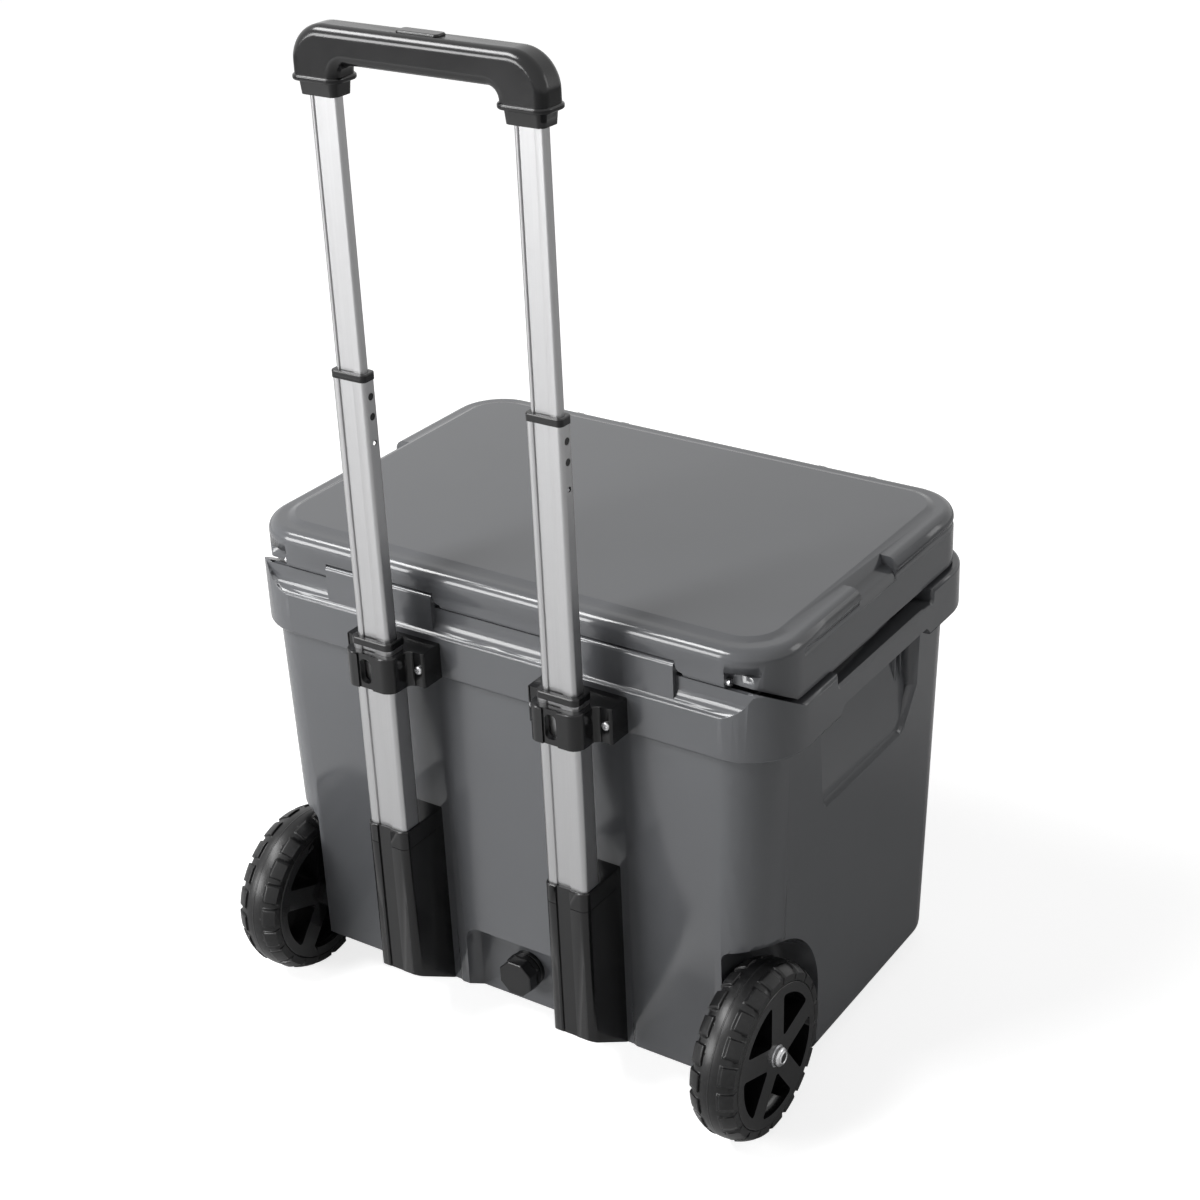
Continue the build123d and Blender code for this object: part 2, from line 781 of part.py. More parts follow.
def lid_shell():
    """Lid block with its rounded edge and the raised panel on top."""
    solid = extrude(lid_plan(0, lid_skirt_z), lid_edge_z - lid_skirt_z)
    solid = fillet(solid.edges().group_by(Axis.Z)[-1], lid_edge_round)
    low = lid_plan(crown_inset, lid_edge_z - crown_root, crown_corner_ease)
    high = lid_plan(crown_inset + crown_slope, lid_top_z, crown_corner_ease)
    panel = loft([low, high])
    return solid + fillet(panel.edges().group_by(Axis.Z)[-1], crown_round)


def lid_groove():
    """Shallow hollow under the lid's top edge, round the sides and front."""
    radius = (groove_height ** 2 / 4 + groove_depth ** 2) / (2 * groove_depth)
    out = radius - groove_depth
    side_x = lid_half_width + out
    front_y = lid_front_y - out
    stop_y = lid_back_y - groove_start_inset
    path = FilletPolyline(
        (side_x, stop_y), (side_x, front_y), (-side_x, front_y), (-side_x, stop_y), radius=lid_corner + out
    )
    ring = sweep(Plane(origin=path @ 0, z_dir=path % 0) * Circle(radius), path=path)
    for end in (path @ 0, path @ 1):
        ring = ring + Pos(*end) * Sphere(radius)
    return Pos(0, 0, lid_edge_z - groove_drop) * ring


def lid_notch():
    """Tie-down notch in the lid's top edge, left side."""
    y = rim_back_y - notch_centre_inset
    inner_x = lid_half_width - notch_width
    floor = lid_edge_z - notch_depth
    foot = floor - notch_foot_drop
    top = lid_top_z + past
    far = lid_half_width + reach
    hollow = outline(
        (inner_x, top),
        (inner_x + notch_back_lean, floor),
        (inner_x + notch_back_lean + notch_floor_width, floor - notch_floor_drop),
        (lid_half_width - notch_foot_bite, foot),
        (far, foot),
        (far, top),
    )
    mouth = Pos(y, (top + foot) / 2) * Rectangle(notch_length, top - foot)
    mouth = fillet([v for v in mouth.vertices() if v.Y < floor], notch_round)
    return along(hollow, y - notch_length, y + notch_length) & across(mouth, inner_x - past, far)


def lid_pocket():
    """Scoop in the lid's back edge that shows the hinge pin's end, with a slit along its top, left side."""
    x = knuckle_outer_x - knuckle_end_gap
    end = x + pocket_length
    floor = lid_back_y - pocket_depth
    out = rim_back_y + past
    top = lid_back_z + pocket_height
    face = outline(
        (x, out),
        (x, floor),
        (x + pocket_floor_length, floor),
        (end, lid_back_y - pocket_exit_depth),
        (end, out),
    )
    low = lid_back_z - knuckle_radius
    scoop = extrude(Pos(0, 0, low) * face, top - low)
    return scoop + block(x, end, floor - slit_depth, out, top - slit_height, top)


def block_span(side):
    """Ends of the room for one hinge block, low x first."""
    low, high = sorted((side * block_inner_x, side * block_outer_x))
    return low - hinge_end_gap, high + hinge_end_gap


def block_recess(side):
    """Room in the lid round one hinge block, flared at its right-hand end."""
    low, high = block_span(side)
    front_y = hinge_y - block_swing
    back_y = rim_back_y + past
    room = block(low, high, front_y, back_y, hinge_z - reach, hinge_z + block_swing)
    near = low - recess_flare
    top = lid_back_z + recess_flare
    flare = block(near, low + past, front_y, back_y, lid_back_z - past, top)
    return room + (flare - rod_y(recess_flare, front_y - past, back_y + past, near, top))


def knuckle(x_low, x_high):
    """Lid knuckle round the hinge pin."""
    top = lid_under_z + knuckle_root
    web = Pos(hinge_y, (hinge_z + top) / 2) * Rectangle(2 * knuckle_radius, top - hinge_z)
    return across(web + Pos(hinge_y, hinge_z) * Circle(knuckle_radius), x_low, x_high)


def lid_knuckles():
    """The three knuckles that the hinge pins pass through."""
    left_low, left_high = block_span(1)
    right_low, right_high = block_span(-1)
    end = knuckle_outer_x - knuckle_end_gap
    return (
        knuckle(left_high, end)
        + knuckle(right_high, left_low - recess_flare)
        + knuckle(-end, right_low - recess_flare)
    )


def latch_ears(x):
    """Pair of ears on the lid's front that carry one latch."""
    near = latch_width / 2 + slip
    radius = latch_barrel_radius + latch_ear_rim
    root_y = lid_front_y + latch_ear_rim
    root = outline(
        (root_y, latch_pivot_z - radius - latch_ear_root),
        (root_y, latch_pivot_z + radius),
        (latch_pivot_y, latch_pivot_z + radius),
        (latch_pivot_y, latch_pivot_z - radius),
    )
    face = root + Pos(latch_pivot_y, latch_pivot_z) * Circle(radius)
    return [across(face, x + near, x + near + latch_ear), across(face, x - near - latch_ear, x - near)]


def lid_foam_core(gap):
    """Foam inside the lid; gap 0 gives the room it fills."""
    inset = skirt_thickness + skin + gap
    return slab(
        lid_half_width - inset,
        lid_front_y + inset,
        lid_back_y - inset - lid_foam_back_inset,
        lid_corner - skirt_thickness,
        lid_under_z + skin + gap,
        lid_edge_z - skin - gap,
    )


def gasket_ring(gap, z_low, z_high):
    """Ring along the middle of the lip; gap widens it into its groove."""
    middle_x = (lip_half_width + cavity_half_width) / 2
    front = (lip_front_y + cavity_front_y) / 2
    back = (lip_back_y + cavity_back_y) / 2
    half = gasket_width / 2 + gap
    outer = slab(middle_x + half, front - half, back + half, lip_corner + half, z_low, z_high)
    inner = slab(
        middle_x - half, front + half, back - half, lip_corner - half, z_low - past, z_high + past
    )
    return outer - inner


def lid_hollow():
    """Room under the lid for the lip, the deck and its step."""
    room = slab(
        lid_half_width - skirt_thickness,
        lid_front_y + skirt_thickness,
        rim_back_y - skirt_back_inset,
        lid_corner - skirt_thickness,
        lid_skirt_z - past,
        lid_under_z,
    )
    top, foot = deck_line(lid_back_lift)
    back = rim_back_y + past
    under = outline((back, top[1]), top, foot, (foot[0], 0), (back, 0))
    return room + across(under, -wide, wide)


def make_lid():
    lid = lid_shell() - lid_hollow() - lid_groove()
    for side in sides.values():
        x = side * latch_x
        lid = lid - block_recess(side)
        lid = lid - put(side, lid_pocket())
        lid = lid - put(side, lid_notch())
        for ear in latch_ears(x):
            lid = lid + ear
        half = latch_width / 2 + latch_ear + past
        lid = lid - rod_x(latch_pin_radius, x - half, x + half, latch_pivot_y, latch_pivot_z)
    lid = lid + lid_knuckles()
    far = knuckle_outer_x + past
    lid = lid - rod_x(hinge_pin_radius + pin_gap, -far, far, hinge_y, hinge_z)
    gasket_top = lip_z + gasket_squeeze_gap + gasket_height
    lid = lid - gasket_ring(seat_gap, lid_under_z - past, gasket_top + seat_gap)
    return lid - lid_foam_core(0)


def make_gasket():
    low = lip_z + gasket_squeeze_gap
    return gasket_ring(0, low, low + gasket_height)


def make_hinge_pin():
    return rod_x(hinge_pin_radius, pin_inner_x, knuckle_outer_x + pin_proud, hinge_y, hinge_z)


# ================================================================ latches
def make_latch():
    """Latch arm on its barrel, hanging in front of the rim, left side."""
    outer_y = rim_front_y - latch_face_out
    inner_y = outer_y + latch_thickness
    tip_y = rim_front_y - latch_hook_out
    hook_top = latch_hook_z + latch_hook_height
    lean = latch_barrel_radius / math.sqrt(2)
    brow = (latch_pivot_y - lean, latch_pivot_z + lean)
    face = outline(
        brow,
        (outer_y, brow[1] - (brow[0] - outer_y)),
        (outer_y, latch_tip_z + latch_tip_chamfer),
        (outer_y + latch_edge, latch_tip_z),
        (inner_y - latch_edge, latch_tip_z),
        (inner_y, latch_tip_z + latch_tip_chamfer),
        (inner_y, latch_hook_z),
        (tip_y - latch_edge, latch_hook_z),
        (tip_y, latch_hook_z + latch_edge),
        (tip_y, hook_top - latch_edge),
        (tip_y - latch_edge, hook_top),
        (inner_y, hook_top + latch_edge),
        (inner_y, latch_pivot_z - latch_barrel_radius),
        (latch_pivot_y, latch_pivot_z),
    )
    barrel = Pos(latch_pivot_y, latch_pivot_z) * Circle(latch_barrel_radius)
    half = latch_width / 2
    arm = across(face + barrel, latch_x - half, latch_x + half)
    low = latch_hook_z + latch_grip_rise
    arm = arm - block(
        latch_x - half + latch_grip_inset, latch_x + half - latch_grip_inset,
        outer_y - past, outer_y + latch_grip_depth,
        low, low + latch_grip_height,
    )
    bore = latch_pin_radius + pin_gap
    return arm - rod_x(bore, latch_x - reach, latch_x + reach, latch_pivot_y, latch_pivot_z)


def make_latch_pin():
    half = latch_width / 2 + slip + latch_ear
    return rod_x(latch_pin_radius, latch_x - half, latch_x + half, latch_pivot_y, latch_pivot_z)


# ================================================================ wheels
def spoke_pockets(x_low, x_high):
    """Pockets between the straight spokes, cut between two planes."""
    face = Circle(pocket_rim_radius) - Circle(hub_radius)
    for i in range(spoke_count):
        turn = 180 - spoke_turn + i * 360 / spoke_count
        arm = Pos(pocket_rim_radius, 0) * Rectangle(2 * pocket_rim_radius, spoke_width)
        face = face - Rot(0, 0, turn) * arm
    cut = across(Pos(wheel_y, wheel_z) * face, x_low, x_high)
    return fillet(cut.edges().filter_by(Axis.X), spoke_corner)


def make_wheel_rim():
    """Spoked plastic wheel, left side."""
    middle = (disc_outer_x + disc_inner_x) / 2
    disc = rod_x(rim_disc_radius, disc_inner_x, disc_outer_x, wheel_y, wheel_z)
    disc = fillet(disc.edges(), disc_round)
    disc = disc - ring_x(
        rim_disc_radius + tyre_bead, rim_disc_radius - tyre_seat_depth,
        tyre_inner_x + tyre_bead - slip, tyre_outer_x - tyre_bead + slip, wheel_y, wheel_z,
    )
    disc = disc - spoke_pockets(middle + wheel_web / 2, disc_outer_x + past)
    disc = disc - spoke_pockets(disc_inner_x - past, middle - wheel_web / 2)
    bore = rod_x(axle_radius + pin_gap, disc_inner_x - past, disc_outer_x + past, wheel_y, wheel_z)
    seat_x = disc_outer_x - washer_thickness - slip
    return disc - bore - rod_x(washer_radius + slip, seat_x, disc_outer_x + past, wheel_y, wheel_z)


def tread_arc(lift, inset):
    """Crown of the tread between two (x, radius) points, raised by a lift."""
    half = tyre_width / 2 - tyre_shoulder
    radius = (half ** 2 + tyre_crown_drop ** 2) / (2 * tyre_crown_drop) + lift
    centre = wheel_radius + lift - radius
    span = tyre_width / 2 - inset
    low = centre + math.sqrt(radius ** 2 - span ** 2)
    middle = (tyre_inner_x + tyre_outer_x) / 2
    return ThreePointArc((middle + span, low), (middle, wheel_radius + lift), (middle - span, low)), low


def tyre_section():
    """Tyre cross-section as (x, radius), without its lugs."""
    arc, shoulder = tread_arc(0, tyre_shoulder)
    side = shoulder - tyre_side_drop
    bead = rim_disc_radius + slip
    seat = rim_disc_radius - tyre_seat_depth + pin_gap
    lines = Polyline(
        (tyre_inner_x + tyre_shoulder, shoulder),
        (tyre_inner_x + side_top_inset, side),
        (tyre_inner_x + side_foot_inset, bead),
        (tyre_inner_x + tyre_bead, bead),
        (tyre_inner_x + tyre_bead, seat),
        (tyre_outer_x - tyre_bead, seat),
        (tyre_outer_x - tyre_bead, bead),
        (tyre_outer_x - side_foot_inset, bead),
        (tyre_outer_x - side_top_inset, side),
        (tyre_outer_x - tyre_shoulder, shoulder),
    )
    return make_face(lines + arc)


def tyre_lug(outer):
    """One low lug that follows the crown of the tread down one shoulder."""
    arc, low = tread_arc(lug_height, side_foot_inset)
    foot = rim_disc_radius + lug_foot_rise
    span = tyre_width / 2 - side_foot_inset
    middle = (tyre_inner_x + tyre_outer_x) / 2
    near_x = middle - span
    far_x = middle + span
    sides_down = Polyline((near_x, low), (near_x, foot), (far_x, foot), (far_x, low))
    band = revolve(Plane.XZ * make_face(arc + sides_down), Axis.X)
    pitch = 2 * math.pi * wheel_radius / lug_count
    length = pitch * (1 - lug_gap_share)
    near = tyre_outer_x - lug_width if outer else tyre_inner_x
    body = block(near, near + lug_width, -length / 2, length / 2, 0, wheel_radius + past)
    cap = rod_x(wheel_radius, near, near + lug_width, 0, 0)
    return band & body & cap


def make_tyre():
    """Rubber tyre with a row of low lugs down each shoulder, left side."""
    tyre = revolve(Plane.XZ * tyre_section(), Axis.X)
    outer_lug = tyre_lug(True)
    inner_lug = tyre_lug(False)
    lugs = []
    for i in range(lug_count):
        turn = i * 360 / lug_count
        lugs.append(Rot(turn, 0, 0) * outer_lug)
        lugs.append(Rot(turn + 180 / lug_count, 0, 0) * inner_lug)
    return Pos(0, wheel_y, wheel_z) * tyre.fuse(*lugs)


def make_axle():
    end = disc_outer_x + cap_height - cap_wall
    return rod_x(axle_radius, well_inner_x - axle_embed + seat_gap, end, wheel_y, wheel_z)


def make_washer():
    low = disc_outer_x - washer_thickness
    return ring_x(washer_radius, axle_radius + pin_gap, low, disc_outer_x, wheel_y, wheel_z)


def make_push_cap():
    cap = rod_x(cap_radius, disc_outer_x, disc_outer_x + cap_height, wheel_y, wheel_z)
    cap = fillet(cap.edges().group_by(Axis.X)[-1], cap_round)
    top = disc_outer_x + cap_height - cap_wall + seat_gap
    return cap - rod_x(axle_radius + pin_gap, disc_outer_x - past, top, wheel_y, wheel_z)


def make_spacer():
    """Bush that holds the wheel off the well's inner wall."""
    radius = axle_radius + spacer_wall
    return ring_x(radius, axle_radius + pin_gap, well_inner_x, disc_inner_x - slip, wheel_y, wheel_z)


# ================================================================ drain
def make_drain_fitting():
    face = drain_face_y
    tail = cavity_back_y - port_tail
    fitting = rod_y(fitting_radius, face, face + fitting_flange, 0, drain_z)
    fitting = fillet(fitting.edges().group_by(Axis.Y)[-1], fitting_round)
    fitting = fitting + rod_y(port_radius - seat_gap, tail, face + past, 0, drain_z)
    return fitting - rod_y(plug_shank_radius + slip, tail - past, face + reach, 0, drain_z)


def make_drain_seal():
    low = drain_face_y + fitting_flange
    ring = rod_y(seal_radius, low, low + seal_thickness, 0, drain_z)
    return ring - rod_y(plug_shank_radius + pin_gap, low - past, low + reach, 0, drain_z)


def make_drain_plug():
    low = drain_face_y + fitting_flange + seal_thickness
    flats = Rot(0, 0, 180 / plug_sides) * RegularPolygon(plug_flat, plug_sides, major_radius=False)
    head = along(Pos(0, drain_z) * (flats & Circle(plug_radius)), low, low + plug_cap_length)
    head = fillet(head.edges().group_by(Axis.Y)[-1], plug_round)
    collar = rod_y(plug_radius, low, low + plug_collar_length, 0, drain_z)
    return head + collar + rod_y(plug_shank_radius, low - plug_shank_length, low + past, 0, drain_z)


# ================================================================ tubes
def track_cut(depth, sink, width):
    """Outline of the sunk track on the outer (+Y) face of a tube."""
    return Pos(track_offset, depth / 2) * Rectangle(width, 2 * sink)


def tube_outline(size, sink):
    """Outer outline of a tube with its track."""
    width, depth, corner = size
    return RectangleRounded(width, depth, corner) - track_cut(depth, sink, track_width)


def tube_bore(size, wall, sink, gap=0.0):
    """Room inside a tube, made smaller by a gap."""
    width, depth, corner = size
    inset = wall + gap
    room = RectangleRounded(width - 2 * inset, depth - 2 * inset, corner - wall)
    return room - track_cut(depth, sink + inset, track_width + 2 * inset)


def sleeve(size, gap):
    """Plain opening that a smaller tube slides through."""
    width, depth, corner = size
    return RectangleRounded(width + 2 * gap, depth + 2 * gap, corner + gap)


def upright(face, x, z_low, z_high):
    """Run a tube outline up from one height to another."""
    return extrude(Pos(x, tube_y, z_low) * face, z_high - z_low)


def make_base_tube(x):
    face = tube_outline(base_tube, base_track) - tube_bore(base_tube, base_wall, base_track)
    return upright(face, x, base_bottom_z, base_top_z)


def side_hole(radius, x, z):
    """Hole through the right-hand wall of a handle tube."""
    return rod_x(radius, x - base_tube[0], x - base_tube[0] / 4, tube_y, z)


def make_middle_tube(x):
    face = tube_outline(middle_tube, middle_track) - tube_bore(middle_tube, middle_wall, middle_track)
    tube = upright(face, x, middle_bottom_z, middle_top_z)
    for drop in peg_drops:
        tube = tube - side_hole(peg_hole_radius, x, middle_top_z - drop)
    tube = tube - side_hole(lock_hole_radius, x, middle_top_z - lock_hole_drop)
    sight_z = middle_top_z - sight_hole_drop
    return tube - rod_y(sight_hole_radius, tube_y - base_tube[1], tube_y, x + sight_hole_x, sight_z)


def make_inner_tube(x):
    face = tube_outline(inner_tube, inner_track) - tube_bore(inner_tube, inner_wall, inner_track)
    tube = upright(face, x, inner_bottom_z, inner_top_z)
    return tube - side_hole(lock_pin_radius + slip, x, lock_z)


def guide_collar(size, x, z, height):
    """Rounded collar that stands on the mouth of a tube."""
    collar = upright(sleeve(size, collar_wall), x, z, z + height)
    return fillet(collar.edges().group_by(Axis.Z)[-1], collar_round)


def track_relief(wide_by, x, z_low, z_high):
    """Room round the middle tube's track, which runs inside its guide and glide."""
    depth = middle_tube[1] / 2
    face = Pos(track_offset, 2 * depth) * Rectangle(track_width + 2 * wide_by, 2 * depth)
    return upright(face, x, z_low, z_high)


def make_base_guide(x):
    """Plastic guide in the mouth of the base tube."""
    low = base_top_z - guide_depth
    guide = upright(tube_bore(base_tube, base_wall, base_track, seat_gap), x, low, base_top_z)
    guide = guide + guide_collar(base_tube, x, base_top_z, guide_collar_height)
    return guide - upright(sleeve(middle_tube, slip), x, low - past, base_top_z + reach)


def make_top_guide(x):
    """Plastic guide in the mouth of the middle tube, with pegs that snap into its holes."""
    low = middle_top_z - top_guide_depth
    guide = upright(tube_bore(middle_tube, middle_wall, middle_track, seat_gap), x, low, middle_top_z)
    guide = guide + guide_collar(middle_tube, x, middle_top_z, guide_collar_height)
    wall_x = x - middle_tube[0] / 2 + guide_sink
    for drop in peg_drops:
        peg = rod_x(peg_hole_radius - seat_gap, wall_x, wall_x + peg_length, tube_y, middle_top_z - drop)
        guide = guide + peg
    guide = guide - upright(sleeve(inner_tube, slip), x, low - past, middle_top_z + reach)
    return guide - track_relief(middle_wall + slip, x, low - past, middle_top_z)


def make_middle_glide(x):
    """Glide on the foot of the middle tube, running inside the base tube."""
    low = middle_bottom_z - glide_sole
    foot = upright(tube_bore(base_tube, base_wall, base_track, slip), x, low, low + glide_length)
    foot = foot - upright(sleeve(middle_tube, seat_gap), x, middle_bottom_z, middle_top_z)
    return foot - upright(RectangleRounded(*glide_hole), x, low - past, middle_bottom_z + past)


def make_inner_glide(x):
    """Glide on the foot of the inner tube, running inside the middle tube."""
    low = inner_bottom_z - inner_glide_sole
    foot = upright(tube_bore(middle_tube, middle_wall, middle_track, slip), x, low, low + inner_glide_length)
    foot = foot - upright(sleeve(inner_tube, seat_gap), x, inner_bottom_z, inner_top_z)
    foot = foot - upright(RectangleRounded(*inner_glide_hole), x, low - past, inner_bottom_z + past)
    return foot - track_relief(middle_wall + slip, x, low - past, inner_top_z)


# ================================================================ sockets and brackets
def tube_seat():
    """Opening that grips a base tube."""
    track = track_cut(base_tube[1] + 2 * seat_gap, base_track - seat_gap, track_width - 2 * seat_gap)
    return sleeve(base_tube, seat_gap) - track


def make_socket(x):
    """Moulded boot that holds the foot of a base tube against the tub."""
    outer_y = tube_y + base_tube[1] / 2 + socket_wall_out
    depth = outer_y - channel_y
    low_z = socket_bottom_z - socket_slope_drop
    face = RectangleRounded(socket_width, depth, socket_corner)
    root = Pos(0, -(depth - 2 * socket_corner) / 2) * Rectangle(socket_width, 2 * socket_corner)
    middle = Pos(x, (outer_y + channel_y) / 2, 0)
    solid = extrude(middle * Pos(0, 0, low_z) * (face + root), socket_top_z - low_z)
    rim = [e for e in solid.edges().group_by(Axis.Z)[-1] if e.center().Y > channel_y + past]
    solid = fillet(rim, socket_top_round)
    foot_y = outer_y - socket_slope_run
    drop = outline((outer_y + past, socket_bottom_z), (foot_y, low_z), (foot_y, 0), (outer_y + past, 0))
    solid = solid - across(drop, x - reach, x + reach)
    solid = solid - upright(tube_seat(), x, base_bottom_z, socket_top_z + past)
    track = Pos(x + track_offset, outer_y, 0) * Rectangle(track_width, 2 * base_track)
    solid = solid - extrude(track, socket_top_z + past)
    seam = offset(face, past) - offset(face, -socket_seam)
    return solid - extrude(middle * Pos(0, 0, socket_top_z - socket_seam_drop) * seam, socket_seam)


def make_bracket(x):
    """Clamp that ties the base tube to the rim, with an ear on each side."""
    outer_y = tube_y + base_tube[1] / 2 + bracket_front_wall
    half = base_tube[0] / 2 + bracket_wall
    ear_y = rim_back_y + ear_face_out
    face = outline(
        (-ear_half_span, rim_back_y), (-ear_half_span, ear_y), (-half, ear_y), (-half, outer_y),
        (half, outer_y), (half, ear_y), (ear_half_span, ear_y), (ear_half_span, rim_back_y),
    )
    face = fillet([v for v in face.vertices() if v.Y > ear_y + past], bracket_corner)
    nooks = [v for v in face.vertices() if abs(v.Y - ear_y) < past and abs(v.X) < half + past]
    face = fillet(nooks, bracket_nook)
    tips = [v for v in face.vertices() if abs(v.Y - ear_y) < past and abs(v.X) > ear_half_span - past]
    face = fillet(tips, ear_round)
    solid = extrude(Pos(x, 0, bracket_bottom_z) * face, bracket_height)
    rim = [e for e in solid.edges().group_by(Axis.Z)[-1] if e.center().Y > rim_back_y + past]
    solid = fillet(rim, bracket_top_round)
    low = bracket_bottom_z - past
    high = bracket_top_z + past
    solid = solid - upright(sleeve(base_tube, seat_gap), x, low, high)
    near = ear_half_span - ear_groove_inset - ear_groove_width
    for side in sides.values():
        ends = sorted((x + side * near, x + side * (near + ear_groove_width)))
        solid = solid - block(*ends, ear_y - ear_groove_depth, ear_y + past, low, high)
    track = track_width / 2
    middle = x + track_offset
    solid = solid - block(middle - track, middle + track, outer_y - base_track, outer_y + past, low, high)
    window = Pos(middle, (low + high) / 2) * RectangleRounded(window_width, window_height, window_round)
    return solid - along(window, tube_y, outer_y + past)


# ================================================================ grip
def grip_outline():
    """Front view of the grip: a bar with a leg at each end."""
    bar_low = grip_top_z - grip_bar_height
    frame = outline(
        (-grip_outer_x, grip_leg_bottom_z), (-grip_outer_x, grip_top_z),
        (grip_outer_x, grip_top_z), (grip_outer_x, grip_leg_bottom_z),
        (grip_inner_x, grip_leg_bottom_z), (grip_inner_x, bar_low),
        (-grip_inner_x, bar_low), (-grip_inner_x, grip_leg_bottom_z),
    )
    frame = fillet([v for v in frame.vertices() if v.Y > bar_low + past], grip_outer_corner)
    nook = [v for v in frame.vertices() if v.Y > bar_low - past and abs(v.X) < grip_inner_x + past]
    return fillet(nook, grip_inner_corner)


def leg_shape(x):
    """Bead and cuff at the foot of one leg."""
    width = grip_outer_x - grip_inner_x
    bead = RectangleRounded(width + 2 * bead_out, grip_depth + 2 * bead_out, grip_round + bead_out)
    bead = upright(bead, x, grip_leg_bottom_z, grip_leg_bottom_z + bead_height)
    bead = fillet(bead.edges().group_by(Axis.Z)[-1] + bead.edges().group_by(Axis.Z)[0], bead_round)
    root_z = grip_leg_bottom_z + bead_round
    cuff = loft([
        Pos(x, tube_y, root_z - cuff_length) * RectangleRounded(cuff_width, cuff_depth, cuff_corner),
        Pos(x, tube_y, root_z) * RectangleRounded(
            cuff_width + 2 * cuff_draft, cuff_depth + 2 * cuff_draft, cuff_corner + cuff_draft
        ),
    ])
    return bead + cuff


def make_grip():
    leg_x = (grip_outer_x + grip_inner_x) / 2
    grip = along(grip_outline(), tube_y - grip_depth / 2, tube_y + grip_depth / 2)
    rim = [e for e in grip.edges() if abs(e.center().Y - tube_y) > grip_depth / 2 - seat_gap]
    rim = [e for e in rim if e.center().Z > grip_leg_bottom_z + seat_gap]
    grip = fillet(rim, grip_round)
    yoke_low = yoke_z - yoke_height / 2 - button_travel - yoke_gap / 2
    for side in sides.values():
        x = side * leg_x
        grip = grip + leg_shape(x)
        low = grip_leg_bottom_z - cuff_length
        grip = grip - upright(sleeve(inner_tube, seat_gap), x, low, inner_top_z + seat_gap)
        grip = grip - rod_z(rod_radius + rod_gap, inner_top_z, yoke_low + past, x, tube_y)
    half = yoke_width / 2 + yoke_gap
    end = leg_x + yoke_width
    yoke_high = yoke_z + yoke_height / 2 + yoke_gap
    grip = grip - block(-end, end, tube_y - half, tube_y + half, yoke_low, yoke_high)
    opening = RectangleRounded(button_length + 2 * slip, button_width + 2 * slip, button_corner)
    grip = grip - upright(opening, 0, spring_floor_z, grip_top_z + reach)
    return grip - rod_z(stem_radius + stem_gap, yoke_low, grip_top_z, 0, tube_y)


def make_button():
    cap = RectangleRounded(button_length, button_width, button_corner)
    cap = upright(cap, 0, button_low_z, button_low_z + button_thickness)
    cap = fillet(cap.edges().group_by(Axis.Z)[-1], button_round)
    return cap + rod_z(stem_radius, yoke_z + yoke_height / 2, button_low_z + past, 0, tube_y)


def make_release_rod():
    """Yoke under the button with a rod down each inner tube."""
    bar = Pos(0, tube_y, yoke_z) * Box(2 * tube_x + yoke_width, yoke_width, yoke_height)
    low = housing_z + housing_height + button_travel + past
    for side in sides.values():
        bar = bar + rod_z(rod_radius, low, yoke_z, side * tube_x, tube_y)
    return bar


def make_button_spring():
    """Compression spring between the grip and the button."""
    low = spring_floor_z + spring_wire + spring_gap
    height = button_low_z - spring_wire - spring_gap - low
    path = Helix(pitch=height / spring_turns, height=height, radius=spring_radius)
    wire = Plane(origin=path @ 0, z_dir=path % 0) * RegularPolygon(spring_wire, 6)
    return Pos(0, tube_y, low) * sweep(wire, path=path)


def make_lock_housing(x):
    room = tube_bore(inner_tube, inner_wall, inner_track, seat_gap)
    body = upright(room, x, housing_z, housing_z + housing_height)
    return body - rod_x(lock_pin_radius + pin_gap, x - inner_tube[0], x, tube_y, lock_z)


def make_lock_pin(x):
    low = x - inner_tube[0] / 2 + lock_pin_inset
    return rod_x(lock_pin_radius, low, low + lock_pin_length, tube_y, lock_z)


# ================================================================ feet
def make_foot():
    y = rim_front_y + body_front_inset + body_front_taper + foot_inset
    pad = extrude(Pos(foot_x, y, 0) * RectangleRounded(foot_length, foot_width, foot_round), tub_bottom_z)
    return fillet(pad.edges().group_by(Axis.Z)[0], foot_edge)


# ================================================================ all pieces
def build():
    pieces = {
        "tub": make_tub(),
        "tub_foam": foam_core(foam_gap),
        "lid": make_lid(),
        "lid_foam": lid_foam_core(foam_gap),
        "lid_gasket": make_gasket(),
        "drain_fitting": make_drain_fitting(),
        "drain_seal": make_drain_seal(),
        "drain_plug": make_drain_plug(),
        "grip": make_grip(),
        "button": make_button(),
        "release_rod": make_release_rod(),
        "button_spring": make_button_spring(),
    }
    mirrored = {
        "hinge_pin": make_hinge_pin,
        "latch": make_latch,
        "latch_pin": make_latch_pin,
        "wheel_rim": make_wheel_rim,
        "tyre": make_tyre,
        "axle": make_axle,
        "washer": make_washer,
        "push_cap": make_push_cap,
        "wheel_spacer": make_spacer,
        "foot": make_foot,
    }
    along_tube = {
        "base_tube": make_base_tube,
        "middle_tube": make_middle_tube,
        "inner_tube": make_inner_tube,
        "base_guide": make_base_guide,
        "top_guide": make_top_guide,
        "middle_glide": make_middle_glide,
        "inner_glide": make_inner_glide,
        "socket": make_socket,
        "bracket": make_bracket,
        "lock_housing": make_lock_housing,
        "lock_pin": make_lock_pin,
    }
    for name, make in mirrored.items():
        solid = make()
        for side_name, side in sides.items():
            pieces[f"{side_name}_{name}"] = put(side, solid)
    for name, make in along_tube.items():
        for side_name, side in sides.items():
            pieces[f"{side_name}_{name}"] = make(side * tube_x)
    return pieces


os.makedirs("parts", exist_ok=True)
for node, solid in build().items():
    export_step(solid, f"parts/{node}.step")
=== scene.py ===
"""Wheeled hard cooler: finishes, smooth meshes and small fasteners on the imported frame, and a stage."""

import json
import math

import bpy
from mathutils import Matrix, Vector


